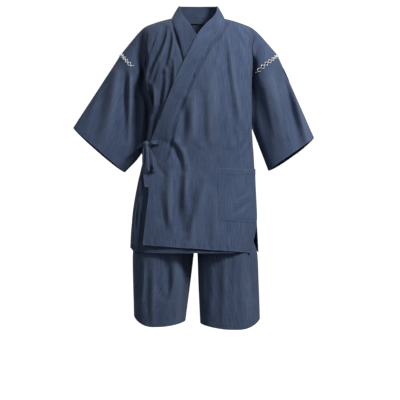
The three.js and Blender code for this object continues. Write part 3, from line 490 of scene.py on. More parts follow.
def across_at(x, drop):
    """Place across a row for a distance x from the middle, inside the chest corners."""
    return CORNER * np.asarray(x, float) / half_value("cornerX", np.asarray(x, float), drop)


def body_point(face, across, drop, lift):
    """Point of the jacket moved out along its normal."""
    step = 0.01
    at = body_surface(face, across, drop)
    sideways = (body_surface(face, np.minimum(1, across + step), drop)
                - body_surface(face, np.maximum(-1, across - step), drop))
    down = body_surface(face, across, drop + 1) - body_surface(face, across, np.maximum(0, drop - 1))
    top = np.broadcast_to(np.asarray(drop) < 1, at.shape[:-1])[..., None]
    down = np.where(top, [0, -1 if face == "front" else 1, 0], down)
    normal = np.cross(down, sideways) if face == "front" else np.cross(sideways, down)
    return at + unit(normal) * np.asarray(lift)[..., None]


print("widest section at the hem, in millimetres:", LEFT_HALF["edgeX"][-1] + RIGHT_HALF["edgeX"][-1])

# %% [markdown]
# Worn cloth falls in folds. A maker could leave them to a simulation, but these are the folds of one
# picture, so each is listed one by one: a soft trough, or a ridge where its depth is below zero, along a
# curve from x1, z1 over x2, z2 to x3, z3 as seen from the front. No two have the same length, depth or width.
# Small uneven ripples are added everywhere, because cotton never lies quite flat.
# %% Folds
FOLD = "x1 z1 x2 z2 x3 z3 width depth"
OUTER_FOLDS = table(FOLD, [
    [  86,  -90,   90, -185,  108, -270,  8,  6],
    [ 100, -250,  112, -320,  134, -385, 11,  6],
    [  48, -150,   50, -250,   46, -400, 20, -5],
    [ -48, -285,  -40, -340,  -56, -412, 15, 13],
    [ -88, -414,  -58, -440,  -54, -500, 10, 12],
    [ -54, -500,  -70, -590,  -54, -690, 13, 10],
    [ -30, -610,  -56, -680,  -84, -745, 34,  8],
    [   0, -545,  -28, -600,  -46, -712, 15,  8],
    [-112, -470, -108, -560, -120, -610, 13,  3],
    [-120, -580, -112, -650,  -92, -710, 13,  6],
    [ -86, -520,  -90, -610,  -92, -700, 16, -7],
])
OUTER_CREASES = table(FOLD, [
    [ 136,  -34,  150,  -46,  168,  -70,  6,  5.0],
    [ 118,  -44,  132,  -70,  147, -106,  7,  5.0],
    [ 126,  -60,  140, -100,  150, -150,  8, -3.0],
    [  62,  -60,   58, -110,   40, -190,  9,  3.0],
    [ 104, -110,  112, -190,  120, -260, 10, -3.0],
    [ 126, -260,  122, -330,  130, -400,  9, -3.0],
    [  -8, -255,  -16, -330,  -10, -400, 10, -3.5],
    [  18, -250,   14, -330,   24, -430, 10,  3.5],
    [  96, -250,  104, -330,  124, -450,  9,  3.0],
    [ -30, -400,    0, -440,   34, -446,  7,  1.2],
    [ 108, -640,  134, -622,  166, -596,  7,  3.2],
    [ 112, -596,  134, -584,  156, -570,  5,  2.0],
    [ -70, -560,  -66, -640,  -74, -735,  7,  3.0],
    [ -20, -610,  -14, -690,  -24, -752,  9, -3.0],
    [  28, -590,   36, -680,   22, -752, 14,  4.0],
    [ -98, -560, -100, -640, -106, -690,  6,  2.4],
    [ -36, -500,  -42, -570,  -30, -640,  8, -3.0],
    [  66, -430,  100, -444,  146, -432,  8,  1.2],
    [ 168, -372,  150, -416,  112, -452,  8,  3.0],
    [ 170, -420,  150, -450,  126, -470,  6,  1.8],
    [-140, -470, -128, -490, -100, -520,  7,  2.6],
])
INNER_FOLDS = table(FOLD, [
    [ -82,  -36,  -64,  -80,  -46, -150,  5,  9],
    [-110,  -36, -112,  -92, -158, -180,  9, 14],
    [ -92,  -38,  -86, -110, -118, -190,  7, 10],
    [ -88, -150,  -82, -230, -102, -290,  7, 12],
    [-112, -190, -118, -280, -146, -380,  9, 14],
])
INNER_CREASES = table(FOLD, [
    [ -68,  -66,  -50, -104,  -40, -140,  3,  5.0],
    [ -98, -160,  -92, -200, -100, -260,  6,  8.0],
    [-130, -100, -148, -150, -160, -200,  7,  8.0],
    [-158, -236, -146, -266, -160, -316,  9, 22.0],
    [-134, -300, -150, -350, -142, -396,  6,  9.0],
    [ -98, -240, -116, -330, -136, -400,  6,  7.0],
    [ -76, -300, -104, -360, -138, -404,  6,  5.0],
    [-136,  -56, -146,  -90, -160, -120,  5,  4.0],
    [-128, -160, -142, -200, -152, -226,  6,  6.0],
    [-168, -470, -176, -520, -170, -580, 12, 12.0],
    [-196, -600, -200, -650, -204, -690,  5,  8.0],
    [-176, -600, -180, -660, -184, -750, 12,  8.0],
])
BACK_FOLDS = table(FOLD, [
    [-104,  -60, -122, -160, -140, -320, 12, 10],
    [ 112,  -60,  130, -170,  150, -330, 13,  9],
    [  60, -330,   44, -480,   58, -700, 15, 11],
    [ -70, -360,  -50, -520,  -76, -720, 16, 10],
    [ 128, -440,  120, -560,  140, -730, 12,  8],
    [-150, -470, -138, -580, -158, -735, 12,  8],
])
BACK_CREASES = table(FOLD, [
    [ -60,  -40,  -84, -100, -106, -170,  8,  2.2],
    [  66,  -44,   90, -110,  108, -190,  8,  2.2],
    [ -20, -420,  -40, -440,  -84, -452,  7,  1.6],
    [  10, -400,   50, -430,   96, -436,  7,  1.6],
    [ -10, -480,   -4, -600,  -14, -740, 12, -2.2],
    [  94, -540,   90, -640,  100, -750,  9,  2.2],
    [-108, -560, -104, -650, -114, -740,  9,  2.0],
    [-160, -200, -150, -290, -156, -380,  8,  2.2],
    [ 164, -220,  156, -300,  160, -390,  8,  2.0],
    [  24, -120,   30, -220,   22, -330, 14, -2.0],
    [ -40, -180,  -34, -270,  -44, -350, 12,  1.6],
])
SLEEVE_FOLDS = {
    "left": table(FOLD, [
        [224, -170, 242, -260, 286, -425, 28, -9],
        [274, -130, 300, -290, 336, -440, 19, 50],
        [192, -200, 204, -300, 232, -430, 12,  5],
        [270, -330, 284, -390, 300, -440,  8,  2],
        [206, -240, 222, -320, 240, -390,  7,  3],
    ]),
    "right": table(FOLD, [
        [-235, -148, -238, -260, -243, -400,  9, 14],
        [-200, -200, -197, -300, -206, -440, 12, 11],
        [-300, -190, -320, -290, -345, -395, 19, 11],
        [-262, -160, -274, -260, -300, -400, 15, -9],
        [-218, -150, -221, -270, -223, -410,  7, -7],
        [-200, -196, -188, -204, -172, -222,  5, 5],
        [-248, -270, -266, -350, -284, -430,  7, 4],
        [-338, -230, -356, -290, -380, -350,  8, 3],
        [-186, -240, -192, -320, -206, -420,  8, 5],
    ]),
}
SHORTS_FOLDS = table(FOLD, [
    [-186, -770, -184, -880, -200,  -950, 10,  8],
    [ -98, -765,  -96, -830, -104,  -905, 13, 13],
    [ -60, -770,  -58, -880,  -62, -1000, 12, -8],
    [  60, -770,   66, -880,   58, -1000, 20,  7],
    [ 150, -790,  156, -890,  168, -1000, 16, -5],
])
SHORTS_CREASES = table(FOLD, [
    [-128, -860, -122, -890, -110,  -915,  7,  4.5],
    [ -88, -848,  -92, -880, -104,  -915,  7,  4.5],
    [-180, -772, -168, -870, -194,  -960,  7, -4.5],
    [-112, -760, -100, -780,  -80,  -792,  6,  3.0],
    [-142, -790, -138, -880, -146,  -985,  9, -4.5],
    [-160, -830, -168, -900, -160,  -985,  9,  4.0],
    [ -36, -765,  -42, -840,  -40,  -960,  8,  8.0],
    [ 162, -826,  168, -880,  172,  -925,  5, -3.0],
    [  20, -760,   34, -830,   24,  -960, 10,  4.0],
    [ 100, -760,  108, -850,   98,  -970, 11,  3.5],
    [ 128, -770,  120, -840,  132,  -970,  8,  2.6],
    [  84, -790,   84, -860,   78,  -980, 10, -3.0],
    [   0, -700,   26, -730,   70, -745,  8,  2.4],
    [ -16, -700,  -46, -728,  -90, -742,  8,  2.4],
])
LIP = 0.45                       # a roll of cloth stands beside each fold, this share of its depth


def fold_depth(folds, x, z, steps=24):
    """How deep the folds of a table are at places seen from the front. Each has a roll on its lit side."""
    depth = np.zeros(np.shape(x))
    for i in range(len(folds["x1"])):
        value = {name: folds[name][i] for name in folds}
        nearest = np.full(np.shape(x), 1e9)
        where = np.zeros(np.shape(x))
        beside = np.zeros(np.shape(x))
        for t in np.linspace(0, 1, steps + 1):
            px = (1 - t) ** 2 * value["x1"] + 2 * t * (1 - t) * value["x2"] + t * t * value["x3"]
            pz = (1 - t) ** 2 * value["z1"] + 2 * t * (1 - t) * value["z2"] + t * t * value["z3"]
            apart = (x - px) ** 2 + (z - pz) ** 2
            closer = apart < nearest
            where = np.where(closer, t, where)
            beside = np.where(closer, x - px, beside)
            nearest = np.minimum(apart, nearest)
        ends = 0.30 + 0.70 * np.sin(np.pi * where)
        width = value["width"]
        away = np.sqrt(nearest) - 1.75 * width
        roll = LIP * np.exp(-(away / (0.9 * width)) ** 2) * ramp(-0.4 * width, 0.9 * width, beside)
        depth += value["depth"] * ends * (np.exp(-nearest / width ** 2) - roll)
    return depth


def all_folds(x, z, *tables):
    """How deep the folds of several tables are together."""
    return sum(fold_depth(folds, x, z) for folds in tables)


def ripples(u, v, seed, height=0.55):
    """Low uneven waves over a flat cut, mostly up and down it. u and v are in millimetres."""
    chance = np.random.default_rng(seed)
    waves = np.zeros(np.broadcast(u, v).shape)
    for length in (34, 47, 62, 88, 120):
        lean, shift, drift = chance.uniform(-0.5, 0.5), chance.uniform(0, 6.3), chance.uniform(0, 6.3)
        bend = 0.9 * np.sin(v / (2.3 * length) + drift) + 0.5 * np.sin(u / (3.1 * length) + shift)
        waves += (length / 80) * np.sin(2 * np.pi * (u + lean * v) / length + bend + shift)
    return height * waves / 2


print("folds placed by hand:", sum(len(folds["x1"]) for folds in (
    OUTER_FOLDS, OUTER_CREASES, INNER_FOLDS, INNER_CREASES, BACK_FOLDS, BACK_CREASES,
    *SLEEVE_FOLDS.values(), SHORTS_FOLDS, SHORTS_CREASES)))

# %% [markdown]
# Each cloth piece starts as a flat grid, one vertex for each crossing of its rows and columns. The vertices
# are then moved onto the form, the flat cut becomes the UV map, and Solidify turns the sheet into a wall
# behind its outer face. A vertex group makes the wall thicker where the cloth is turned into a hem.
# %% Sheets of cloth
CLOTH_THICK = 1.1                # one layer, in millimetres
HEM_THICK = 2.1                  # where it is turned
HEM_WIDTH = 20.0
CUT_SHIFT = (1.37, 0.61)         # moves each piece to its own stretch of the cloth, in metres
FAR = 1000.0                     # the distance to a hem where none is near
SMOOTH_ANGLE = math.radians(48)
made_pieces = []


def run_down(points):
    """Distance down each column from the first row."""
    steps = np.linalg.norm(np.diff(points, axis=0), axis=-1)
    return np.concatenate([np.zeros((1, steps.shape[1])), np.cumsum(steps, axis=0)])


def run_across(points):
    """Distance along each row from the first column."""
    return run_down(points.transpose(1, 0, 2)).T


def grid_normals(points, inside):
    """Unit normals that point away from the inside points."""
    down, right = np.gradient(points, axis=0), np.gradient(points, axis=1)
    normal = unit(np.cross(right, down))
    return normal if ((points - inside) * normal).sum() > 0 else -normal


def middle_line(points):
    """The line down the middle of the body, as the inside of each point."""
    return xyz(0.0, 0.0, points[..., 2])


def graded(first, last, count, *more):
    """Even places from first to last, with a few more where a hem or a seam needs them."""
    return np.unique(np.round(np.r_[np.linspace(first, last, count), list(more)], 4))


def cloth_sheet(name, points, cut, inside, edge=None, ridge=None, closed=False, material=INDIGO,
                thick=CLOTH_THICK, hem_thick=HEM_THICK, offset=-1.0):
    """A wall from points[row][column], top row first. cut is its flat shape, edge the distance to a hem."""
    rows, columns = points.shape[:2]
    bpy.ops.object.select_all(action="DESELECT")
    bpy.ops.mesh.primitive_grid_add(x_subdivisions=columns - 1, y_subdivisions=rows - 1, size=1)
    piece = bpy.context.object
    piece.name = name
    mesh = piece.data
    mesh.name = name
    flat = np.empty(3 * len(mesh.vertices))
    mesh.vertices.foreach_get("co", flat)
    flat = flat.reshape(-1, 3)
    c = np.rint((flat[:, 0] + 0.5) * (columns - 1)).astype(int)
    r = rows - 1 - np.rint((flat[:, 1] + 0.5) * (rows - 1)).astype(int)
    mesh.vertices.foreach_set("co", (points[r, c] * MM).ravel())
    corners = np.empty(len(mesh.loops), int)
    mesh.loops.foreach_get("vertex_index", corners)
    mesh.uv_layers[0].name = "cut"
    shifted = cut * MM + np.array(CUT_SHIFT) * len(made_pieces)
    mesh.uv_layers["cut"].data.foreach_set("uv", shifted[r, c][corners].ravel())
    edge = np.full((rows, columns), FAR) if edge is None else edge
    ridge = np.zeros((rows, columns)) if ridge is None else ridge
    # edge makes hems paler like rubbed dye; ridge carries the painted highlight on fold ridges.
    for label, values in (("edge", edge * MM), ("ridge", np.clip(ridge, 0, 1))):
        kept = mesh.attributes.new(label, "FLOAT", "POINT")
        kept.data.foreach_set("value", values[r, c].astype(float))
    hem = piece.vertex_groups.new(name="hem")
    turned = mix(thick / hem_thick, 1.0, 1 - ramp(HEM_WIDTH, HEM_WIDTH + 2, edge))[r, c]
    for index, weight in enumerate(turned):
        hem.add([index], float(weight), "REPLACE")
    mesh.update()
    normal = grid_normals(points, inside)[r, c]
    found = np.empty(3 * len(mesh.vertices))
    mesh.vertices.foreach_get("normal", found)
    bpy.ops.object.mode_set(mode="EDIT")
    bpy.ops.mesh.select_all(action="SELECT")
    if (found.reshape(-1, 3) * normal).sum() < 0:
        bpy.ops.mesh.flip_normals()
    if closed:
        bpy.ops.mesh.remove_doubles(threshold=0.02 * MM)
    bpy.ops.object.mode_set(mode="OBJECT")
    wall = piece.modifiers.new("wall", "SOLIDIFY")
    wall.thickness = hem_thick * MM
    wall.offset = offset
    wall.vertex_group = "hem"
    bpy.ops.object.modifier_apply(modifier="wall")
    bpy.ops.object.shade_smooth_by_angle(angle=SMOOTH_ANGLE)
    mesh.materials.clear()
    mesh.materials.append(material)
    made_pieces.append(piece)
    faces = len(piece.data.polygons)
    area = sum(face.area for face in piece.data.polygons) / 2
    print(f"{name}: {rows} rows, {columns} columns, {faces} faces, {area:.3f} square metres of cloth")
    return piece


def dress(piece, node):
    """The piece takes the place of its solid and moves with the whole garment."""
    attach(piece, "root")
    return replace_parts(piece, node)


print("thickness of one layer:", CLOTH_THICK, "and of a hem:", HEM_THICK)

# %% [markdown]
# Sewing shows as rows of short stitches. One stitch is modelled from a small cylinder that is pinched at
# both ends, and every row of sewing repeats it along a line of points on the cloth. All the stitches of a
# garment are one mesh, because thousands of separate objects would be slow.
# %% Stitches
STITCH = {"long": 2.3, "pitch": 3.2, "thick": 0.42, "sunk": -0.05}
stitch_lines = {"stitching_jacket": [], "stitching_shorts": []}


def one_stitch():
    bpy.ops.object.select_all(action="DESELECT")
    bpy.ops.mesh.primitive_cylinder_add(vertices=6, radius=STITCH["thick"] / 2, depth=STITCH["long"] * 0.6,
                                        rotation=(0, math.pi / 2, 0))
    stitch = bpy.context.object
    bpy.ops.object.transform_apply(location=False, rotation=True, scale=False)
    bpy.ops.object.mode_set(mode="EDIT")
    bpy.ops.mesh.select_all(action="DESELECT")
    bpy.ops.object.mode_set(mode="OBJECT")
    for face in stitch.data.polygons:
        face.select = abs(face.normal.x) > 0.9
    bpy.ops.object.mode_set(mode="EDIT")
    bpy.ops.mesh.extrude_region_shrink_fatten(TRANSFORM_OT_shrink_fatten={"value": STITCH["long"] * 0.2})
    bpy.ops.object.mode_set(mode="OBJECT")
    points = np.array([vertex.co for vertex in stitch.data.vertices])
    ends = abs(points[:, 0]) > STITCH["long"] * 0.4
    points[ends, 1:] *= 0.45
    points[ends, 2] -= STITCH["thick"] * 0.3
    faces = [tuple(face.vertices) for face in stitch.data.polygons]
    bpy.data.objects.remove(stitch)
    return points, faces


STITCH_POINTS, STITCH_FACES = one_stitch()


def sew(garment, line, normals):
    """Adds a row of stitches along a line of points, on the side that the normals face."""
    line = np.asarray(line) + unit(normals) * STITCH["sunk"]
    run = np.r_[0, np.cumsum(np.linalg.norm(np.diff(line, axis=0), axis=1))]
    places = np.arange(STITCH["pitch"], run[-1] - STITCH["pitch"], STITCH["pitch"])
    read = lambda at, values: np.stack([np.interp(at, run, values[:, k]) for k in range(3)], axis=1)
    middle = read(places, line)
    ahead = unit(read(places + 1.2, line) - read(places - 1.2, line))
    up = unit(read(places, unit(normals)))
    up = unit(up - ahead * (up * ahead).sum(axis=1, keepdims=True))
    aside = np.cross(up, ahead)
    stitch_lines[garment].append((middle, ahead, aside, up))


def sew_all(garment):
    """One mesh of all the stitches of a garment."""
    points, faces = [], []
    for middle, ahead, aside, up in stitch_lines[garment]:
        x, y, z = (STITCH_POINTS[:, k][None, :, None] for k in range(3))
        placed = middle[:, None] + x * ahead[:, None] + y * aside[:, None] + z * up[:, None]
        for stitch in placed:
            start = len(points) * len(STITCH_POINTS)
            faces += [tuple(start + i for i in face) for face in STITCH_FACES]
            points.append(stitch)
    mesh = bpy.data.meshes.new(garment)
    mesh.from_pydata((np.concatenate(points) * MM).tolist(), [], faces)
    mesh.materials.append(THREAD)
    piece = bpy.data.objects.new(garment, mesh)
    bpy.context.scene.collection.objects.link(piece)
    for face in mesh.polygons:
        face.use_smooth = True
    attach(piece, "root")
    print(garment, "stitches:", len(points), "faces:", len(faces))
    return piece


print("faces of one stitch:", len(STITCH_FACES))

# %% [markdown]
# Three things pull the cloth out of its smooth form: the front hangs in a groove beside each armhole, the
# seam of the collar draws the front in, and sewing puckers a hem into small waves.
# %% Grooves and puckers
GROOVE = table("z left right deepLeft deepRight outward", [
    [ -30, 186, -168,  6,  0,  5],
    [ -60, 182, -169, 22,  8,  6],
    [-100, 173, -172, 30, 12,  6],
    [-148, 180, -168, 34, 24,  8],
    [-200, 174, -180, 38, 36, 13],
    [-250, 174, -176, 42, 40, 14],
    [-290, 176, -160, 42, 40, 14],
    [-327, 177, -165, 34, 30, 13],
    [-360, 178, -168, 22, 18, 11],
    [-400, 180, -170,  0,  0, 10],
])
GROOVE_INWARD = 5.5              # its half width on the chest's side
SIDE_SEAM_CALM = 60.0            # the groove dies away this far in front of the side seam


def sink(points):
    """The front hangs in a deep narrow groove that runs down beside the armhole."""
    x, z = points[..., 0], np.clip(points[..., 2], GROOVE["z"][-1], GROOVE["z"][0])
    value = lambda name: column(GROOVE, "z", name, z)
    apart = np.where(x > 0, x - value("left"), value("right") - x)
    width = np.where(apart < 0, GROOVE_INWARD, value("outward"))
    deep = np.maximum(0, np.where(x > 0, value("deepLeft"), value("deepRight")))
    deep = deep * ramp(0, SIDE_SEAM_CALM, -points[..., 1])
    moved = points.copy()
    moved[..., 1] += deep * np.exp(-(apart / width) ** 2)
    return moved


def pucker(u, edge):
    """A sewn hem draws the cloth up in small uneven waves."""
    height = 1.5 * np.exp(-((edge - 11) / 8) ** 2)
    return height * np.sin(u / 3.6 + 1.3 * np.sin(u / 19)) * (1 + np.sin(u / 47)) / 2


COLLAR_SINK = {"outer": 8.0, "inner": 6.0, "wide": 6.5, "beside": 4.5}


def beside_collar(name, collar, x, drop):
    """The seam of the collar pulls the front in beside it."""
    end = collar["drop"][-1]
    deep = COLLAR_SINK[name] * ramp(4, 30, drop) * (1 - ramp(end - 60, end, drop))
    aside = COLLAR_SINK["beside"] * (1 if name == "outer" else -1)
    return deep * np.exp(-((x - aside - column(collar, "drop", "seamX", drop)) / COLLAR_SINK["wide"]) ** 2)


print("rows of the groove table:", len(GROOVE["z"]))

# %% [markdown]
# The back is one panel from the neck to the hem. Its neckline is scooped a little below the shoulder line,
# so the columns near the neck start lower than the others. The hem is turned up, and so are the lower sides,
# which are left open as short slits.
# %% Back panel
NECK_HALF = 87.0
NECK_BACK_DROP = 45.0
NECK_TURNS = 12                  # steps round the neck from side to side
SHOULDER_END = 96.0              # below this drop all columns are level
TURNED = [1.2, 2.6, 16.8, 18.0, 19.2, 20.6, 22.5]    # rows that a hem needs, from its edge
SHOULDER_ROWS = [1.5, 3, 5, 8, 12]
SLIT_STITCHED = 6.0              # the sewing of a slit starts this far above it


def levels(count, *more):
    return graded(0, HEM_DROP, count, *[HEM_DROP - t for t in TURNED], *SHOULDER_ROWS, *more)


def sew_hem(points, normals, level):
    """Stitches along the hem of a panel."""
    row = np.argmin(abs(level[:, 0] - (HEM_DROP - STITCH_LINE)))
    sew("stitching_jacket", points[row], normals[row])


def sew_down(points, normals, rows, place):
    """Stitches down a turned edge, along one column of the panel's points."""
    sew("stitching_jacket", points[rows, place], normals[rows, place])


def beside_slit(level):
    """The rows where the turned edge of a slit is sewn."""
    return level[:, 0] > SLIT_DROP - SLIT_STITCHED


def girth(across, drop):
    """Distance round the body from the middle, for the flat cut."""
    corner = half_value("cornerX", across, drop)
    deep = abs(half_value("cornerY", across, drop))
    side = 1.12 * (half_value("edgeX", across, drop) - corner) + 0.62 * deep
    away = abs(across)
    return np.sign(across) * np.where(away < CORNER, corner * away / CORNER,
                                      corner + abs(side) * (away - CORNER) / (1 - CORNER))


def neck_x(step):
    return NECK_HALF * np.sin(np.pi * (np.asarray(step) / NECK_TURNS - 0.5))


def back_neck_drop(x):
    return NECK_BACK_DROP * np.sqrt(np.maximum(0, 1 - (np.asarray(x) / NECK_HALF) ** 2))


def back_hem(across):
    """The back hem ends a little higher on the wearer's right."""
    return mix(-12, 1, (across + 1) / 2)


def ridge_highlight_and_wear(depth):
    """Ridges, where folds push the cloth out, are paler: a painted highlight, with a little rubbed dye."""
    return np.clip(-depth / 4, 0, 1)


def back_panel():
    level = levels(168)[:, None]
    side, shoulder = graded(0, 1, 18, 0.02, 0.05), np.linspace(0, 1, 16)[1:-1]
    neck = neck_x(np.linspace(0, NECK_TURNS, 45))
    left_edge = across_at(-NECK_HALF, level)
    right_edge = across_at(NECK_HALF, level)
    across = [mix(-1, -CORNER, side)[None, :] + 0 * level]
    across.append(mix(-CORNER, left_edge, shoulder[None, :]))
    beside = len(side) + len(shoulder)
    start = np.r_[np.zeros(beside), back_neck_drop(neck), np.zeros(beside)]
    top = np.where(level < SHOULDER_END, mix(start, SHOULDER_END, level / SHOULDER_END), level + 0 * start)
    neck_drop = top[:, beside:beside + len(neck)]
    neck_drop = neck_drop + back_hem(0.0) * ramp(SLANT_DROP, HEM_DROP, level)
    across.append(across_at(neck[None, :] + 0 * level, neck_drop))
    across.append(mix(right_edge, CORNER, shoulder[None, :]))
    across.append(mix(CORNER, 1, side)[None, :] + 0 * level)
    across = np.concatenate(across, axis=1)
    drop = top + back_hem(across) * ramp(SLANT_DROP, HEM_DROP, level)
    at = body_surface("back", across, drop)
    u, v = girth(across, drop), drop
    depth = all_folds(at[..., 0], at[..., 2], BACK_FOLDS, BACK_CREASES)
    depth = depth * ramp(0, 25, level) * ramp(0, 0.08, 1 - abs(across))
    calm = ramp(0, 30, level) * ramp(0, 0.05, 1 - abs(across))
    waves = calm * ripples(u, v, 5) + pucker(u, HEM_DROP - level)
    points = body_point("back", across, drop, waves - depth)
    low = level > SLIT_DROP
    run = run_across(points)
    edge = np.minimum(HEM_DROP - level + 0 * run,
                      np.where(low, np.minimum(run, run[:, -1:] - run), FAR))
    normals = grid_normals(points, middle_line(points))
    sew_hem(points, normals, level)
    for place in (6, -7):
        sew_down(points, normals, beside_slit(level), place)
    return cloth_sheet("back_panel", points, np.stack([u, v], -1), middle_line(points), edge, ridge_highlight_and_wear(depth))


dress(back_panel(), "back")

# %% [markdown]
# The outer front crosses over from the wearer's left to the right hip. Its upper edge is the collar seam, and
# below the collar it ends in a turned edge. It lies a little proud of the front under it, and swings forward
# below the top of the slit, where nothing holds its side.
# %% Outer front
OUTER_COLLAR = table("drop seamX freeX", [
    [  0,   87,   65],
    [ 14,   86,   62],
    [ 38,   82,   50],
    [ 76,   64,   29],
    [115,   31,   -1],
    [156,    7,  -33],
    [203,  -18,  -59],
    [252,  -40,  -81],
    [300,  -61, -104],
    [363,  -82, -127],
    [426,  -94, -149],
    [470, -114, -163],
    [508, -155, -167],
])
OUTER_EDGE = table("drop x", [[520, -156], [600, -155], [695, -165], [765, -171]])
OVERLAP_LIFT = 6.0
SLIT_SWING = {"left": {"inwards": 34, "forward": 84}, "right": {"inwards": 8, "forward": 30}}
OUTER_HEM = {"free": -29, "side": 5}
EDGE_LIFT = 9.0                  # the free edge below the tie stands off the front under it
CHEST_WIDE = 355.0               # about the width of the outer front between its edge and the chest's corner


def bound(collar, drop, below, change):
    """Where the collar seam, and under it the free edge, bounds a front. change is the way between them."""
    end, seam = collar["drop"][-1], collar["seamX"][-1]
    under = mix(seam, below, ramp(end, end + change, drop))
    return np.where(drop <= end, column(collar, "drop", "seamX", drop), under)


def slit_swing(across, drop, side):
    low = np.clip((drop - SLIT_DROP) / (HEM_DROP - SLIT_DROP), 0, 1)
    away, swing = abs(across), SLIT_SWING[side]
    return xyz(-np.sign(across) * swing["inwards"] * low ** 1.6 * ramp(0.25, 0.95, away),
               -swing["forward"] * low ** 0.85 * ramp(0.6, 1, away), 0)


def overlap_lift(x, z):
    return OVERLAP_LIFT * ramp(5, 62, -z) * (1 - ramp(128, 172, x))


def outer_front_point(across, drop, extra=0.0):
    across, drop = np.broadcast_arrays(np.asarray(across, float), np.asarray(drop, float))
    at = body_surface("front", across, drop)
    depth = all_folds(at[..., 0], at[..., 2], OUTER_FOLDS, OUTER_CREASES)
    depth = depth * ramp(0, 0.08, 1 - across)
    calm = ramp(0, 30, drop) * ramp(0, 0.05, 1 - across)
    wave = calm * ripples(girth(across, drop), drop, 11)
    wave = wave - beside_collar("outer", OUTER_COLLAR, at[..., 0], drop)
    free = np.maximum(0, at[..., 0] - column(OUTER_EDGE, "drop", "x", drop))
    wave = wave + EDGE_LIFT * np.exp(-free / 38) * ramp(440, 560, drop)
    lift = overlap_lift(at[..., 0], at[..., 2]) - depth + wave + extra
    out = sink(body_point("front", across, drop, lift))
    return out + np.where((across > 0)[..., None], slit_swing(across, drop, "left"), 0.0), depth


def outer_hem(across, level):
    hem = mix(OUTER_HEM["free"], OUTER_HEM["side"], (across + CORNER) / (1 + CORNER))
    return hem * ramp(OUTER_COLLAR["drop"][-1], SLIT_DROP, level)


def outer_front():
    collar_end = OUTER_COLLAR["drop"][-1]
    level = levels(160, collar_end, collar_end + 1)[:, None]
    start = across_at(bound(OUTER_COLLAR, level, column(OUTER_EDGE, "drop", "x", level), 12), level)
    chest = graded(0, 1, 78, *[t / CHEST_WIDE for t in TURNED])[None, :]
    side = graded(0, 1, 34, 0.95, 0.98)[None, 1:]
    across = np.concatenate([mix(start, CORNER, chest), mix(CORNER, 1, side) + 0 * level], axis=1)
    drop = level + outer_hem(across, level)
    puckers = pucker(girth(across, drop), HEM_DROP - level)
    points, depth = outer_front_point(across, drop, puckers)
    run = run_across(points)
    turned = level > collar_end + 4
    free = np.where(turned, run, FAR)
    slit = np.where(level > SLIT_DROP, run[:, -1:] - run, FAR)
    edge = np.minimum(np.minimum(HEM_DROP - level + 0 * run, free), slit)
    normals = grid_normals(points, middle_line(points))
    sew_hem(points, normals, level)
    sew_down(points, normals, turned[:, 0], np.argmin(abs(chest[0] - STITCH_LINE / CHEST_WIDE)))
    sew_down(points, normals, beside_slit(level), -5)
    return cloth_sheet("front_outer_panel", points, np.stack([girth(across, drop), drop], -1),
                       middle_line(points), edge, ridge_highlight_and_wear(depth))


dress(outer_front(), "front_outer")

# %% [markdown]
# The inner front is the mirror of the outer one in its cut, but most of it is hidden. It is pressed in
# wherever the outer front dips into a fold, so that the two layers stay apart.
# %% Inner front
INNER_COLLAR = table("drop seamX freeX", [
    [  0,  -84, -60],
    [ 12,  -82, -56],
    [ 40,  -76, -43],
    [ 88,  -59, -21],
    [145,  -44,   2],
    [190,  -20,  24],
    [240,    6,  48],
    [290,   31,  73],
    [345,   56,  97],
    [400,   81, 117],
    [430,  104, 120],
])
INNER_FRONT_EDGE = 122.0
INNER_HEM = {"side": -13, "free": -2}


def inner_front_point(across, drop, extra=0.0):
    across, drop = np.broadcast_arrays(np.asarray(across, float), np.asarray(drop, float))
    at = body_surface("front", across, drop)
    x, z = at[..., 0], at[..., 2]
    pressed = 1.15 * np.maximum(0, fold_depth(OUTER_FOLDS, x, z))
    pressed = pressed + np.maximum(0, fold_depth(OUTER_CREASES, x, z))
    depth = all_folds(x, z, INNER_FOLDS, INNER_CREASES) * ramp(0, 0.08, 1 + across)
    calm = ramp(0, 30, drop) * ramp(0, 0.05, 1 + across)
    wave = calm * ripples(girth(across, drop), drop, 17) - beside_collar("inner", INNER_COLLAR, x, drop)
    out = sink(body_point("front", across, drop, extra + wave - depth - pressed))
    return out + np.where((across < 0)[..., None], slit_swing(across, drop, "right"), 0.0), depth


def inner_front():
    level = levels(160)[:, None]
    end = across_at(bound(INNER_COLLAR, level, INNER_FRONT_EDGE, 60), level)
    side = graded(0, 1, 34, 0.02, 0.05)[None, :]
    chest = graded(0, 1, 92)[None, 1:]
    across = np.concatenate([mix(-1, -CORNER, side) + 0 * level, mix(-CORNER, end, chest)], axis=1)
    hem = mix(INNER_HEM["side"], INNER_HEM["free"], ramp(-1, -0.4, across))
    drop = level + hem * ramp(SLANT_DROP, HEM_DROP, level)
    points, depth = inner_front_point(across, drop, pucker(girth(across, drop), HEM_DROP - level))
    run = run_across(points)
    free = np.where(level > INNER_COLLAR["drop"][-1] + 10, run[:, -1:] - run, FAR)
    slit = np.where(level > SLIT_DROP, run, FAR)
    edge = np.minimum(np.minimum(HEM_DROP - level + 0 * run, free), slit)
    normals = grid_normals(points, middle_line(points))
    sew_hem(points, normals, level)
    sew_down(points, normals, beside_slit(level), 5)
    # Its material is the darker copy of the cloth: a painted shadow.
    return cloth_sheet("front_inner_panel", points, np.stack([girth(across, drop), drop], -1),
                       middle_line(points), edge, ridge_highlight_and_wear(depth), material=INDIGO_PAINTED_SHADOW)


dress(inner_front(), "front_inner")

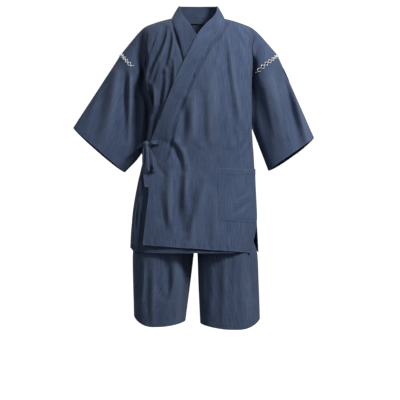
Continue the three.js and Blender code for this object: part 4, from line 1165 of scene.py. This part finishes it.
# %% [markdown]
# The collar is one strip, folded double and sewn round the neck and down both crossed edges. Behind the neck
# it stands up, and from the collarbone down it lies flat. Each half is built from pairs of points, one on
# the seam and one on the folded edge, and the band between them is slightly crowned, as a folded strip is.
# %% Collar
COLLAR_THICK = 2.6
COLLAR_PROUD = 1.0
COLLAR_CROWN = 1.4
NECK_REACH = 6.0                 # behind the neck the band reaches this far down over the back
COLLAR_STAND = table("step freeX freeY freeZ", [
    [0,  0, 69, 56],
    [2, 33, 61, 55],
    [4, 57, 37, 51],
    [6, 65,  3, 46],
])
COLLAR_TOPS = {
    "outer": {"rows": [[65, 3, 46], [62, -22, 27], [50, -43, 4]],
              "lower": [36, 76, 134, 185, 235, 287, 350, 407, 452, 500], "side": 1},
    "inner": {"rows": [[-60, 3, 46], [-56, -22, 25], [-43, -45, 1]],
              "lower": [48, 92, 160, 218, 274, 334, 391, 424], "side": -1},
}


def collar_half(name, collar, point_on):
    shape = COLLAR_TOPS[name]
    side = shape["side"]
    step = np.linspace(0, NECK_TURNS / 2, 26)[:-1]
    x = side * neck_x(NECK_TURNS / 2 + step)
    drop = back_neck_drop(x)
    seam = body_point("back", across_at(x, drop), drop, np.full(len(x), COLLAR_PROUD + SEAM_GAP))
    free = xyz(*[column(COLLAR_STAND, "step", axis, step) for axis in ("freeX", "freeY", "freeZ")])
    free[:, 0] *= side
    lower = np.array(shape["lower"], float)
    on_front = point_on(across_at(collar["freeX"][3:], lower), lower, COLLAR_PROUD)[0]
    ends = np.concatenate([np.array(shape["rows"], float), on_front])
    rows = {"drop": collar["drop"], "x": ends[:, 0], "y": ends[:, 1], "z": ends[:, 2]}
    down = graded(0, collar["drop"][-1], 120)
    across = across_at(column(collar, "drop", "seamX", down), down)
    front_seam = point_on(across, down, COLLAR_PROUD + SEAM_GAP * (1 - ramp(50, 70, down)))[0]
    front_free = xyz(*[column(rows, "drop", axis, down) for axis in "xyz"])
    seam, free = np.concatenate([seam, front_seam]), np.concatenate([free, front_free])
    reach = np.r_[np.full(len(step), NECK_REACH), NECK_REACH * (1 - ramp(0, 34, down))]
    seam = seam + unit(seam - free) * reach[:, None]
    place = np.unique(np.r_[np.linspace(0, 1, 13), 0.03, 0.06, 0.955, 0.985])
    points = seam[:, None] + (free - seam)[:, None] * place[None, :, None]
    run, width = run_down(points), run_across(points)
    normals = grid_normals(points, middle_line(points) + [0, 12, 0])
    crown = COLLAR_CROWN * np.sin(np.pi * place) ** 0.7 + 0.8 * ripples(run * 0.5, width, 31 + side)
    crown = crown * ramp(0, 0.12, place) * ramp(0, 0.02, 1 - place)
    on_chest = np.r_[np.zeros(len(step)), ramp(20, 60, down)][:, None]
    crown = crown + COLLAR_SINK[name] * on_chest * (0.3 + 0.4 * ramp(0, 0.14, place)) * (1 - place) ** 2
    points = points + normals * crown[..., None]
    cut = np.stack([width, run], -1)
    sew("stitching_jacket", points[:, 1], normals[:, 1])
    edge = (width[:, -1:] - width) * 1.6
    # The inner half takes the darker copy of the cloth: a painted shadow.
    return cloth_sheet(f"collar_{name}_band", points, cut, middle_line(points) + [0, 12, 0], edge,
                       thick=COLLAR_THICK, hem_thick=COLLAR_THICK,
                       material=INDIGO if side > 0 else INDIGO_PAINTED_SHADOW)


dress(collar_half("outer", OUTER_COLLAR, outer_front_point), "collar_outer")
dress(collar_half("inner", INNER_COLLAR, inner_front_point), "collar_inner")

# %% [markdown]
# A sleeve is a short wide tube from the armhole to a slanted oval cuff. Every point lies between a point of
# the armhole and one of the cuff, at the same turn round the sleeve. The underside sags, and the cloth
# falls in long folds towards the cuff. The cuff is turned in and sewn.
# %% Sleeves
UNDERARM_DROP = 340.0
ARMHOLE_EASE = 1.25              # spaces the turns evenly along the armhole
CORD_GAP = 4.6                   # open gap at the sleeve head, bridged by the cord
SEAM_LAP = -2.0                  # below the cord the sleeve is sewn on, a little under the body's edge
CORD_END_DROP = 160.0            # the crossings end this far down behind, and at cord_front in front
SLEEVE_LONG = 330.0              # about its length
SLEEVE_RADIUS = 82.0             # about its radius, for the flat cut
SLEEVES = {
    "left": {"side": 1, "tip": (383, 0, -389), "inner": (231, 0, -495), "depth": 60, "back_drop": 14,
             "sag": (0, 0, 0), "cord_front": 160},
    "right": {"side": -1, "tip": (-412, 0, -356), "inner": (-241, 0, -502), "depth": 44, "back_drop": 12,
              "sag": (22, 0, -6), "cord_front": 96},
}


def armhole(side, turn):
    drop = UNDERARM_DROP * (abs(turn) / np.pi) ** ARMHOLE_EASE
    across = np.full_like(drop, side)
    point = np.where((turn < 0)[..., None], body_surface("back", across, drop),
                     body_surface("front", across, drop))
    return point, drop


def cuff_point(shape, turn):
    tip, inner = np.array(shape["tip"], float), np.array(shape["inner"], float)
    point = (tip + inner) / 2 + (tip - inner) / 2 * np.cos(turn)[..., None]
    point[..., 1] -= shape["depth"] * np.sin(turn)
    point[..., 2] -= shape["back_drop"] * np.maximum(0, np.sin(-turn))
    return point


def armhole_frame(shape, turn):
    """The armhole's point and drop, and its directions out of the cloth and over the gap."""
    side, step = shape["side"], 0.02
    point, drop = armhole(side, turn)
    tangent = unit(armhole(side, turn - step)[0] - armhole(side, turn + step)[0])
    out = unit(np.cross(tangent, cuff_point(shape, turn) - point)) * side
    return point, drop, out, np.cross(out, tangent) * side


def sleeve(name):
    shape = SLEEVES[name]
    along = graded(0, 1, 74, 0.008, 0.016, *[1 - t / SLEEVE_LONG for t in TURNED])[:, None]
    turn = np.linspace(-np.pi, np.pi, 151)[None, :] + 0 * along
    head, drop, _, over = armhole_frame(shape, turn)
    end = np.where(turn > 0, shape["cord_front"], CORD_END_DROP)
    gap = mix(CORD_GAP, SEAM_LAP, ramp(-16, 2, drop - end))
    head = head + over * gap[..., None]
    cuff = cuff_point(shape, turn)
    points = head + (cuff - head) * along[..., None]
    points = np.where((turn > 0)[..., None], sink(points), points)
    under = np.maximum(0, -np.cos(turn)) * np.sin(np.pi * along)
    points = points + np.array(shape["sag"], float) * under[..., None]
    middle = (np.array(shape["tip"], float) + np.array(shape["inner"], float)) / 2
    depth = fold_depth(SLEEVE_FOLDS[name], points[..., 0], points[..., 2], steps=96)
    depth = depth * ramp(0, 0.2, along) * (1 - 0.5 * along)
    face = 1.25 * np.sin(turn) / (abs(np.sin(turn)) + 0.25)
    points[..., 1] += depth * face
    u, v = turn * SLEEVE_RADIUS, run_down(points)
    wave = ripples(abs(u) + 60 * np.sign(u), v, 41 + shape["side"]) * ramp(0, 0.1, along)
    wave = wave * ramp(0, 0.25, np.pi - abs(turn))
    points = points - unit(middle - cuff) * wave[..., None]
    inside = mix(head.mean(axis=1, keepdims=True), middle, along[..., None])
    normals = grid_normals(points, inside)
    run = run_down(points)
    edge = run[-1:] - run
    top = edge.shape[1] // 2
    for row in (np.argmin(abs(edge[:, top] - STITCH_LINE)), 2):
        sew("stitching_jacket", points[row], normals[row])
    return cloth_sheet(f"sleeve_{name}_panel", points, np.stack([u, v], -1), inside, edge, ridge_highlight_and_wear(depth),
                       closed=True)


for name in SLEEVES:
    dress(sleeve(name), f"sleeve_{name}")

# %% [markdown]
# White cord joins the sleeve heads to the body over the shoulder, so air gets in. Two strands cross the gap
# in zigzags that mirror each other, which draws crosses with diamonds between them. At each edge a strand
# goes over the cloth, dips through it and comes back from under it. On the wearer's right the crossings stop
# sooner in front, where a fold covers the seam.
# %% Lacing
CORD_THICK = 1.65
CORD_PITCH = 15.5
BITE = 2.7                       # how far a strand reaches over the edge, in half gaps
STRAND_PLACES = [
    # share of one crossing, place across the gap, height over the cloth's middle
    (0.00, -BITE, 0.2), (0.07, -BITE + 0.15, 1.1), (0.22, -1.6, 1.2), (0.38, -0.7, 1.0), (0.50, 0.0, 0.9),
    (0.62, 0.6, 0.3), (0.78, 1.3, -1.4), (0.92, 2.2, -2.2),
]


def strand(name, mirror):
    """A mesh tube of one strand, from the front end of the gap over the shoulder to the back end."""
    shape = SLEEVES[name]
    ends = np.array([shape["cord_front"], CORD_END_DROP])
    front, back = np.pi * (ends / UNDERARM_DROP) ** (1 / ARMHOLE_EASE)
    turns = np.linspace(front, -back, 400)
    route = armhole(shape["side"], turns)[0]
    run = np.r_[0, np.cumsum(np.linalg.norm(np.diff(route, axis=0), axis=1))]
    count = int(round(run[-1] / CORD_PITCH))
    points = []
    for crossing in range(count):
        way = mirror if crossing % 2 else -mirror
        for share, across, height in STRAND_PLACES:
            lift = height if abs(across) > 0.5 else height * (1 if (crossing % 2) == (mirror > 0) else -0.8)
            turn = np.interp((crossing + share) / count * run[-1], run, turns)
            point, _, out, over = armhole_frame(shape, np.array([turn]))
            point = sink(point) if turn > 0 else point
            reach = CORD_GAP / 2 - way * across * CORD_GAP / 2
            points.append(point[0] + over[0] * reach + out[0] * (lift - CLOTH_THICK / 2))
    length = np.linalg.norm(np.diff(points, axis=0), axis=1).sum()
    print(f"{name} strand: {count} crossings, {length:.0f} mm of cord")
    bpy.ops.object.select_all(action="DESELECT")
    curve = bpy.data.curves.new(f"strand_{name}", "CURVE")
    curve.dimensions = "3D"
    curve.bevel_depth = CORD_THICK / 2 * MM
    curve.bevel_resolution = 2
    curve.use_fill_caps = True
    curve.resolution_u = 4
    spline = curve.splines.new("BEZIER")
    spline.bezier_points.add(len(points) - 1)
    for knot, point in zip(spline.bezier_points, points):
        knot.co = point * MM
        knot.handle_left_type = knot.handle_right_type = "AUTO"
    tube = bpy.data.objects.new(f"strand_{name}", curve)
    bpy.context.scene.collection.objects.link(tube)
    tube.select_set(True)
    bpy.context.view_layer.objects.active = tube
    bpy.ops.object.convert(target="MESH")
    return bpy.context.object


def lacing(name):
    strands = [strand(name, 1), strand(name, -1)]
    bpy.ops.object.select_all(action="DESELECT")
    for tube in strands:
        tube.select_set(True)
    bpy.context.view_layer.objects.active = strands[0]
    bpy.ops.object.join()
    piece = bpy.context.object
    piece.name = f"lacing_{name}_cord"
    piece.data.materials.clear()
    piece.data.materials.append(CORD)
    bpy.ops.object.shade_smooth()
    print(piece.name, "faces:", len(piece.data.polygons))
    return piece


for name in SLEEVES:
    dress(lacing(name), f"lacing_{name}")

# %% [markdown]
# The patch pocket sits low on the wearer's left front. Its points are those of the front, moved out, so it
# follows the folds under it. The mouth is a turned band, a little thicker, and it gapes slightly because use
# has stretched it. Three sides are sewn down close to their edge.
# %% Patch pocket
POCKET = {"first": 0.235, "last": 0.79, "top": 492.0, "bottom": 667.0, "band": 18.0, "raised": 0.6,
          "thick": 1.0, "gape": 2.4, "sag": 3.0, "sewn": 2.5, "calm": 9 / 190}


def pocket():
    top, bottom, seam = POCKET["top"], POCKET["bottom"], POCKET["top"] + POCKET["band"]
    more = [seam - 1, seam, seam + 1, seam + 2, bottom - 1, bottom - POCKET["sewn"]]
    level = graded(top, bottom, 46, *more)[:, None]
    share = np.unique(np.r_[np.linspace(0, 1, 58), 0.004, 0.012, 0.988, 0.996])[None, :]
    across = mix(POCKET["first"], POCKET["last"], share) + 0 * level
    mouth = np.sin(np.pi * share) * (1 - ramp(0, 70, level - top))
    drop = level + outer_hem(across, level) + POCKET["sag"] * mouth
    band = POCKET["raised"] * (1 - ramp(POCKET["band"], POCKET["band"] + 2, level - top))
    sides = np.minimum(ramp(0, POCKET["calm"], 1 - share), ramp(0, POCKET["calm"], share))
    sewn = sides * ramp(0, 9, bottom - level)
    puff = 0.7 * sewn + POCKET["gape"] * mouth
    points, depth = outer_front_point(across, drop, SEAM_GAP + POCKET["thick"] + band + puff)
    normals = grid_normals(points, middle_line(points))
    run, width = run_down(points), run_across(points)
    for index in (2, -3):
        sew("stitching_jacket", points[:, index], normals[:, index])
    sew("stitching_jacket", points[-3], normals[-3])
    row = np.argmin(abs(level[:, 0] - seam))
    sew("stitching_jacket", points[row], normals[row])
    edge = np.minimum(np.minimum(width, width[:, -1:] - width), np.minimum(run, run[-1:] - run))
    return cloth_sheet("patch_pocket", points, np.stack([girth(across, drop), drop], -1), middle_line(points),
                       edge, ridge_highlight_and_wear(depth), thick=POCKET["thick"], hem_thick=POCKET["thick"])


dress(pocket(), "pocket")

# %% [markdown]
# The tie is a bow at the wearer's right side. A strap comes from the edge of the outer front, another from
# the side seam, and they meet in a knot with two loops and two loose ends. Each is a sewn strip of the same
# cloth: a flat ribbon along a short curve, gathered near the knot, where the strips are pinched together.
# %% Tie
RIBBON = {"width": 13.0, "thick": 1.9}
KNOT = {"x": -166.0, "y": -107.0, "z": -414.0, "wide": 10.0, "deep": 8.0, "high": 9.0}
STRAP = {"off": 2.0, "side_drop": 430.0}


def smooth_curve(points, count):
    """Even places along a smooth curve through a few points, with their directions."""
    points = np.array(points, float)
    points = np.concatenate([[2 * points[0] - points[1]], points, [2 * points[-1] - points[-2]]])
    knots = np.r_[0, np.cumsum(np.linalg.norm(np.diff(points, axis=0), axis=1) ** 0.5)]
    found = []
    for i in range(1, len(points) - 2):
        p, k = points[i - 1:i + 3], knots[i - 1:i + 3]
        t = np.linspace(k[1], k[2], 24, endpoint=i == len(points) - 3)[:, None]
        a = [((k[j + 1] - t) * p[j] + (t - k[j]) * p[j + 1]) / (k[j + 1] - k[j]) for j in range(3)]
        b = [((k[j + 2] - t) * a[j] + (t - k[j]) * a[j + 1]) / (k[j + 2] - k[j]) for j in range(2)]
        found.append(((k[2] - t) * b[0] + (t - k[1]) * b[1]) / (k[2] - k[1]))
    found = np.concatenate(found)
    run = np.r_[0, np.cumsum(np.linalg.norm(np.diff(found, axis=0), axis=1))]
    at = np.linspace(0, run[-1], count)
    curve = np.stack([np.interp(at, run, found[:, k]) for k in range(3)], axis=1)
    return curve, unit(np.gradient(curve, axis=0)), run[-1]


def ribbon(name, points, wide_start, wide_end, ends, seed):
    """A strip of cloth. ends gives its width at both ends, as a share of the full width."""
    count = 46
    curve, ahead, length = smooth_curve(points, count)
    share = np.linspace(0, 1, count)[:, None]
    wide = mix(np.array(wide_start, float), np.array(wide_end, float), share)
    wide = unit(wide - ahead * (wide * ahead).sum(axis=1, keepdims=True))
    thick = np.cross(ahead, wide)
    width = RIBBON["width"] * mix(ends[0], ends[1], ramp(0, 1, share))
    place = np.array([-1, -0.93, -0.7, -0.45, -0.2, 0, 0.2, 0.45, 0.7, 0.93, 1])[None, :]
    pinched = 1 - mix(ends[0], ends[1], share)
    pleat = 2.2 * pinched * np.cos(2.2 * np.pi * place + seed) * (1 - abs(place) ** 4)
    curl = 0.9 * np.sin(3.1 * share * np.pi + seed) * place ** 2 + 0.35 * np.sin(9 * share + 2 * place + seed)
    grid = curve[:, None] + wide[:, None] * (place * width / 2)[..., None]
    grid = grid + thick[:, None] * (pleat + curl * ramp(0, 0.15, share) * ramp(0, 0.1, 1 - share))[..., None]
    run, across = run_down(grid), run_across(grid)
    edge = np.minimum(np.minimum(across, across[:, -1:] - across), np.where(ends[1] == 1, length - run, FAR))
    inside = grid - thick[:, None]
    for side in (1, -2):
        sew("stitching_jacket", grid[2:-2, side] + thick[2:-2] * RIBBON["thick"] / 2, thick[2:-2])
    return cloth_sheet(name, grid, np.stack([across, run], -1), inside, edge, thick=RIBBON["thick"],
                       hem_thick=RIBBON["thick"], offset=0.0)


def on_collar(x, drop, off):
    return outer_front_point(across_at(x, drop), drop, COLLAR_PROUD + off)[0].tolist()


def tie_parts():
    x, y, z = KNOT["x"], KNOT["y"], KNOT["z"]
    side_seam = float(body_surface("front", np.array(-1.0), STRAP["side_drop"])[0])
    flat, upright = (1, 0.1, 0), (0, 0, 1)
    return {
        "tie_strap_front": ([on_collar(-116, 409.0, STRAP["off"]), on_collar(-131, 410.0, STRAP["off"] + 1),
                             [-145, -117, -411], [x + 10.4, y - 1, z]], upright, upright, (1, 0.55)),
        "tie_strap_side": ([[side_seam - 2.5, -1, -STRAP["side_drop"]], [side_seam - 20, -30, z - 15],
                            [-192, -72, z - 8], [x - 8.7, y + 5.4, z]], upright, upright, (1, 0.55)),
        "tie_loop_small": ([[x - 5, y + 2, z - 8.2], [x - 12, y + 3, z - 26], [x - 4, y + 2, z - 46],
                            [x + 5, y + 2, z - 30], [x - 0.5, y + 2, z - 9.6]],
                           (0.2, 1, 0), (0.2, 1, 0), (0.5, 0.5)),
        "tie_loop_long": ([[x + 1.5, y - 9, z - 4.4], [x + 4, y - 19, z - 40], [x + 6, y - 20, z - 84],
                           [x + 8, y - 15, z - 88], [x + 7, y - 13, z - 50], [x + 4, y - 10, z - 16]],
                          flat, flat, (0.5, 0.5)),
        "tie_tail_long": ([[x - 4.2, y - 3.8, z - 8.2], [x - 8, y - 9, z - 44], [x - 4, y - 8, z - 90],
                           [x + 3, y - 11, z - 138]], flat, (1, 0, 0), (0.5, 1)),
        "tie_tail_short": ([[x + 4.5, y - 2.5, z - 8], [x + 22, y - 10, z - 40], [x + 32, y - 13, z - 84]],
                           (1, 0.2, 0.2), (1, 0.2, 0.3), (0.5, 1)),
    }


for seed, (name, (route, wide_start, wide_end, ends)) in enumerate(tie_parts().items()):
    dress(ribbon(f"{name}_strip", route, wide_start, wide_end, ends, seed), name)

# %% [markdown]
# A knot of cloth is a lump wrapped by its own strip. The lump is a sphere, squeezed by soft grooves that run
# with the wrap, and the last turn of the strip is a band pulled tight round it.
# %% Knot
def knot():
    bpy.ops.object.select_all(action="DESELECT")
    bpy.ops.mesh.primitive_uv_sphere_add(segments=56, ring_count=36, radius=1)
    piece = bpy.context.object
    piece.name = "tie_knot_wrapped"
    mesh = piece.data
    points = np.empty(3 * len(mesh.vertices))
    mesh.vertices.foreach_get("co", points)
    points = points.reshape(-1, 3)
    lean = points[:, 2] * 0.9 + points[:, 0] * 0.45
    turn = np.arctan2(points[:, 1], points[:, 0])
    band = np.exp(-((points[:, 0] * 0.94 - points[:, 2] * 0.34) / 0.36) ** 4)
    groove = 0.055 * np.cos(8.5 * lean + 0.6 * np.sin(2 * turn)) * (1 - band)
    groove = groove + 0.03 * np.cos(11 * points[:, 1]) * band
    size = 0.90 + 0.16 * band + groove
    scale = np.array([KNOT["wide"], KNOT["deep"], KNOT["high"]])
    placed = points * size[:, None] * scale + [KNOT["x"], KNOT["y"], KNOT["z"]]
    mesh.vertices.foreach_set("co", (placed * MM).ravel())
    mesh.uv_layers[0].name = "cut"
    uv = np.empty(2 * len(mesh.loops))
    mesh.uv_layers["cut"].data.foreach_get("uv", uv)
    girth_of_knot = 2 * math.pi * KNOT["wide"]
    mesh.uv_layers["cut"].data.foreach_set("uv", uv * girth_of_knot * MM)
    # The band round the knot gets half a ridge value: a painted highlight on it.
    for label, values in (("edge", np.full(len(points), 1.0)), ("ridge", np.clip(band * 0.5, 0, 1))):
        mesh.attributes.new(label, "FLOAT", "POINT").data.foreach_set("value", values)
    mesh.update()
    bpy.ops.object.shade_smooth()
    mesh.materials.append(INDIGO)
    print("knot faces:", len(mesh.polygons))
    return piece


dress(knot(), "tie_knot")

# %% [markdown]
# The shorts are four panels, a front and a back for each leg. Above the crotch a panel is a quarter of the
# hip section, and below it half of a leg's. Its inner edge is the centre seam, which turns under and becomes
# the inseam, and its outer edge is the side seam. The legs are wide and hang straight, with soft long folds.
# %% Shorts
SHORTS = table("z left right leftIn rightIn front back", [
    [ -503, 158, -162, -4, -12,  -92,  91],
    [ -560, 170, -178, -4, -12, -101,  98],
    [ -620, 176, -194, -4, -12, -110, 108],
    [ -690, 183, -206, -4, -12, -114, 113],
    [ -743, 190, -212, -5, -11, -113, 112],
    [ -775, 196, -215, -2, -14, -110, 110],
    [ -870, 200, -214,  1, -25, -102, 104],
    [-1000, 204, -211,  7, -41,  -96, 100],
])
LEG_HEMS = {
    "left": {"inner": -998, "front": -1012, "outer": -982, "back": -997},
    "right": {"inner": -990, "front": -1003, "outer": -972, "back": -992},
}
WAIST_BOTTOM, CROTCH, RISE_BEND, SHORTS_HEM = -503.0, -743.0, -655.0, -1000.0
SHORTS_MIDDLE = -8.0
SHORTS_POWER = 0.82              # below 1 makes the sections squarer than an oval
SLIT_ROOM = 14.0                 # the shorts stand back from the jacket's slit at the left hip


def shorts_point(side, face, s, z):
    """Points of one panel, and how deep its folds are. s runs from the inner edge to the side seam."""
    outer_x, inner_x = column(SHORTS, "z", side, z), column(SHORTS, "z", side + "In", z)
    depth = column(SHORTS, "z", face, z)
    if side == "left":
        outer_x = outer_x - SLIT_ROOM * ramp(585, 650, -z) * (1 - ramp(690, 760, -z))
    centre = SHORTS_MIDDLE + (0.01 if side == "left" else -0.01)
    hip_turn, leg_turn = s * np.pi / 2, np.pi * s ** 0.85
    hip_x = mix(centre, outer_x, np.sin(hip_turn) ** SHORTS_POWER)
    hip_y = depth * np.maximum(0, np.cos(hip_turn)) ** SHORTS_POWER
    swing = np.cos(leg_turn)
    leg_x = (inner_x + outer_x) / 2 - (outer_x - inner_x) / 2 * np.sign(swing) * abs(swing) ** SHORTS_POWER
    leg_y = depth * np.maximum(0, np.sin(leg_turn)) ** SHORTS_POWER
    opened = np.clip((RISE_BEND - z) / (RISE_BEND - CROTCH), 0, 1) ** 1.8
    x, y = mix(hip_x, leg_x, opened), mix(hip_y, leg_y, opened)
    folds = all_folds(x, z, SHORTS_FOLDS, SHORTS_CREASES)
    folds = folds * np.clip(abs(leg_y) / 60, 0, 1)
    wave = ripples(x * 1.1, z, 51 + len(side) + 3 * len(face), 0.7)
    wave = wave * ramp(0, 40, abs(y)) * ramp(0, 30, WAIST_BOTTOM - z)
    return xyz(x, y - np.sign(depth) * (folds - wave), z), folds


def leg_panel(side, face):
    inner, middle, outer = (LEG_HEMS[side][place] for place in ("inner", face, "outer"))
    z = -graded(-WAIST_BOTTOM + SEAM_GAP, -SHORTS_HEM, 96, *[-SHORTS_HEM - t for t in TURNED])[:, None]
    s = graded(0, 1, 62, 0.008, 0.99)[None, :]
    low = np.where(s < 0.5, mix(inner, middle, ramp(0, 0.5, s)), mix(middle, outer, ramp(0.5, 1, s)))
    points, folds = shorts_point(side, face, s, z)
    points[..., 2] += (low - SHORTS_HEM) * ramp(800, -SHORTS_HEM, -z)
    inside = xyz(mix(0.0, 100.0 if side == "left" else -115.0, ramp(680, 760, -z)), 0.0, points[..., 2])
    run = run_down(points)
    edge = run[-1:] - run
    normals = grid_normals(points, inside)
    row = np.argmin(abs(-z[:, 0] + SHORTS_HEM + STITCH_LINE))
    sew("stitching_shorts", points[row], normals[row])
    across = run_across(points)
    cut = np.stack([across - across[-1:] * 0.5, run], -1)
    return cloth_sheet(f"shorts_{face}_{side}_panel", points, cut, inside, edge, ridge_highlight_and_wear(folds))


for side in ("left", "right"):
    for face in ("front", "back"):
        dress(leg_panel(side, face), f"shorts_{face}_{side}")

# %% [markdown]
# Elastic gathers the waistband, so its cloth stands in small even waves. It is hidden under the jacket, and
# a tube of rows is enough, with waves that swell between the lines of sewing that hold the elastic.
# %% Waistband
WAISTBAND = {"top": -470.0, "width": 158.0, "depth": 90.0, "radius": 150.0, "gathers": 20, "wave": 2.4,
             "thick": 2.0}


def waistband():
    z = np.linspace(WAISTBAND["top"], WAIST_BOTTOM, 17)[:, None]
    turn = np.linspace(0, 2 * np.pi, 401)[None, :] + 0 * z
    held = 0.72 + 0.28 * np.cos((z - WAISTBAND["top"]) / (WAIST_BOTTOM - WAISTBAND["top"]) * 4 * np.pi)
    wave = WAISTBAND["wave"] * np.cos(turn * WAISTBAND["gathers"]) * held
    wave = wave + 0.5 * np.cos(turn * 57 + z * 0.08) * held
    power = lambda value: np.sign(value) * abs(value) ** SHORTS_POWER
    points = xyz((WAISTBAND["width"] + wave) * power(np.cos(turn)) - 2,
                 (WAISTBAND["depth"] + wave) * power(np.sin(turn)), z)
    inside = xyz(-2.0, 0.0, z + 0 * turn)
    normals = grid_normals(points, inside)
    for row in (2, 8, 14):
        sew("stitching_shorts", points[row], normals[row])
    run = run_down(points)
    thick, cut = WAISTBAND["thick"], np.stack([turn * WAISTBAND["radius"], run], -1)
    return cloth_sheet("shorts_waistband_tube", points, cut, inside, run, closed=True, thick=thick,
                       hem_thick=thick)


dress(waistband(), "shorts_waistband")

# %% [markdown]
# All rows of sewing are known now, and each garment's stitches become one mesh.
# %% Sewing
for garment in stitch_lines:
    sew_all(garment)

# %% [markdown]
# Each sheet states the cut it was made from, as width and length before it was sewn: its flat area shows
# whether a fold or a fullness has been stretched past what the cloth allows. A tube is stated all round.
# %% Flat cuts
CUTS = [
    # piece, width, length, share of that rectangle, how it is held, what holds it
    ("back_panel", 0.560, 0.780, 0.95, "draped", ["collar_outer_band", "collar_inner_band"]),
    ("front_outer_panel", 0.440, 0.790, 0.78, "draped", ["back_panel"]),
    ("front_inner_panel", 0.400, 0.780, 0.80, "draped", ["back_panel"]),
    ("collar_outer_band", 0.052, 0.800, 1.0, "draped", ["front_outer_panel", "back_panel"]),
    ("collar_inner_band", 0.050, 0.680, 1.0, "draped", ["front_inner_panel", "back_panel"]),
    ("sleeve_left_panel", 0.520, 0.260, 0.95, "hung", ["lacing_left_cord"]),
    ("sleeve_right_panel", 0.520, 0.275, 0.95, "hung", ["lacing_right_cord"]),
    ("patch_pocket", 0.156, 0.176, 1.0, "draped", ["front_outer_panel"]),
    ("shorts_front_left_panel", 0.300, 0.510, 0.90, "hung", ["shorts_waistband_tube"]),
    ("shorts_back_left_panel", 0.300, 0.500, 0.90, "hung", ["shorts_waistband_tube"]),
    ("shorts_front_right_panel", 0.300, 0.500, 0.90, "hung", ["shorts_waistband_tube"]),
    ("shorts_back_right_panel", 0.300, 0.500, 0.90, "hung", ["shorts_waistband_tube"]),
    ("shorts_waistband_tube", 0.800, 0.034, 1.0, "gathered", ["shorts_front_left_panel"]),
    ("tie_strap_front_strip", 0.013, 0.040, 1.0, "folded", ["collar_outer_band"]),
    ("tie_strap_side_strip", 0.013, 0.110, 1.0, "folded", ["front_inner_panel"]),
    ("tie_loop_small_strip", 0.013, 0.088, 0.80, "folded", ["tie_knot_wrapped"]),
    ("tie_loop_long_strip", 0.013, 0.172, 0.80, "folded", ["tie_knot_wrapped"]),
    ("tie_tail_long_strip", 0.013, 0.130, 0.75, "folded", ["tie_knot_wrapped"]),
    ("tie_tail_short_strip", 0.013, 0.082, 0.75, "folded", ["tie_knot_wrapped"]),
]
for name, width, length, share, held, holder in CUTS:
    piece = bpy.data.objects[name]
    measured = sum(face.area for face in piece.data.polygons) / 2
    print(f"{name}: cut {width * length * share:.4f}, made {measured:.4f} square metres")

# %% [markdown]
# Last, nothing is left selected.
# %% Finish
bpy.ops.object.select_all(action="DESELECT")
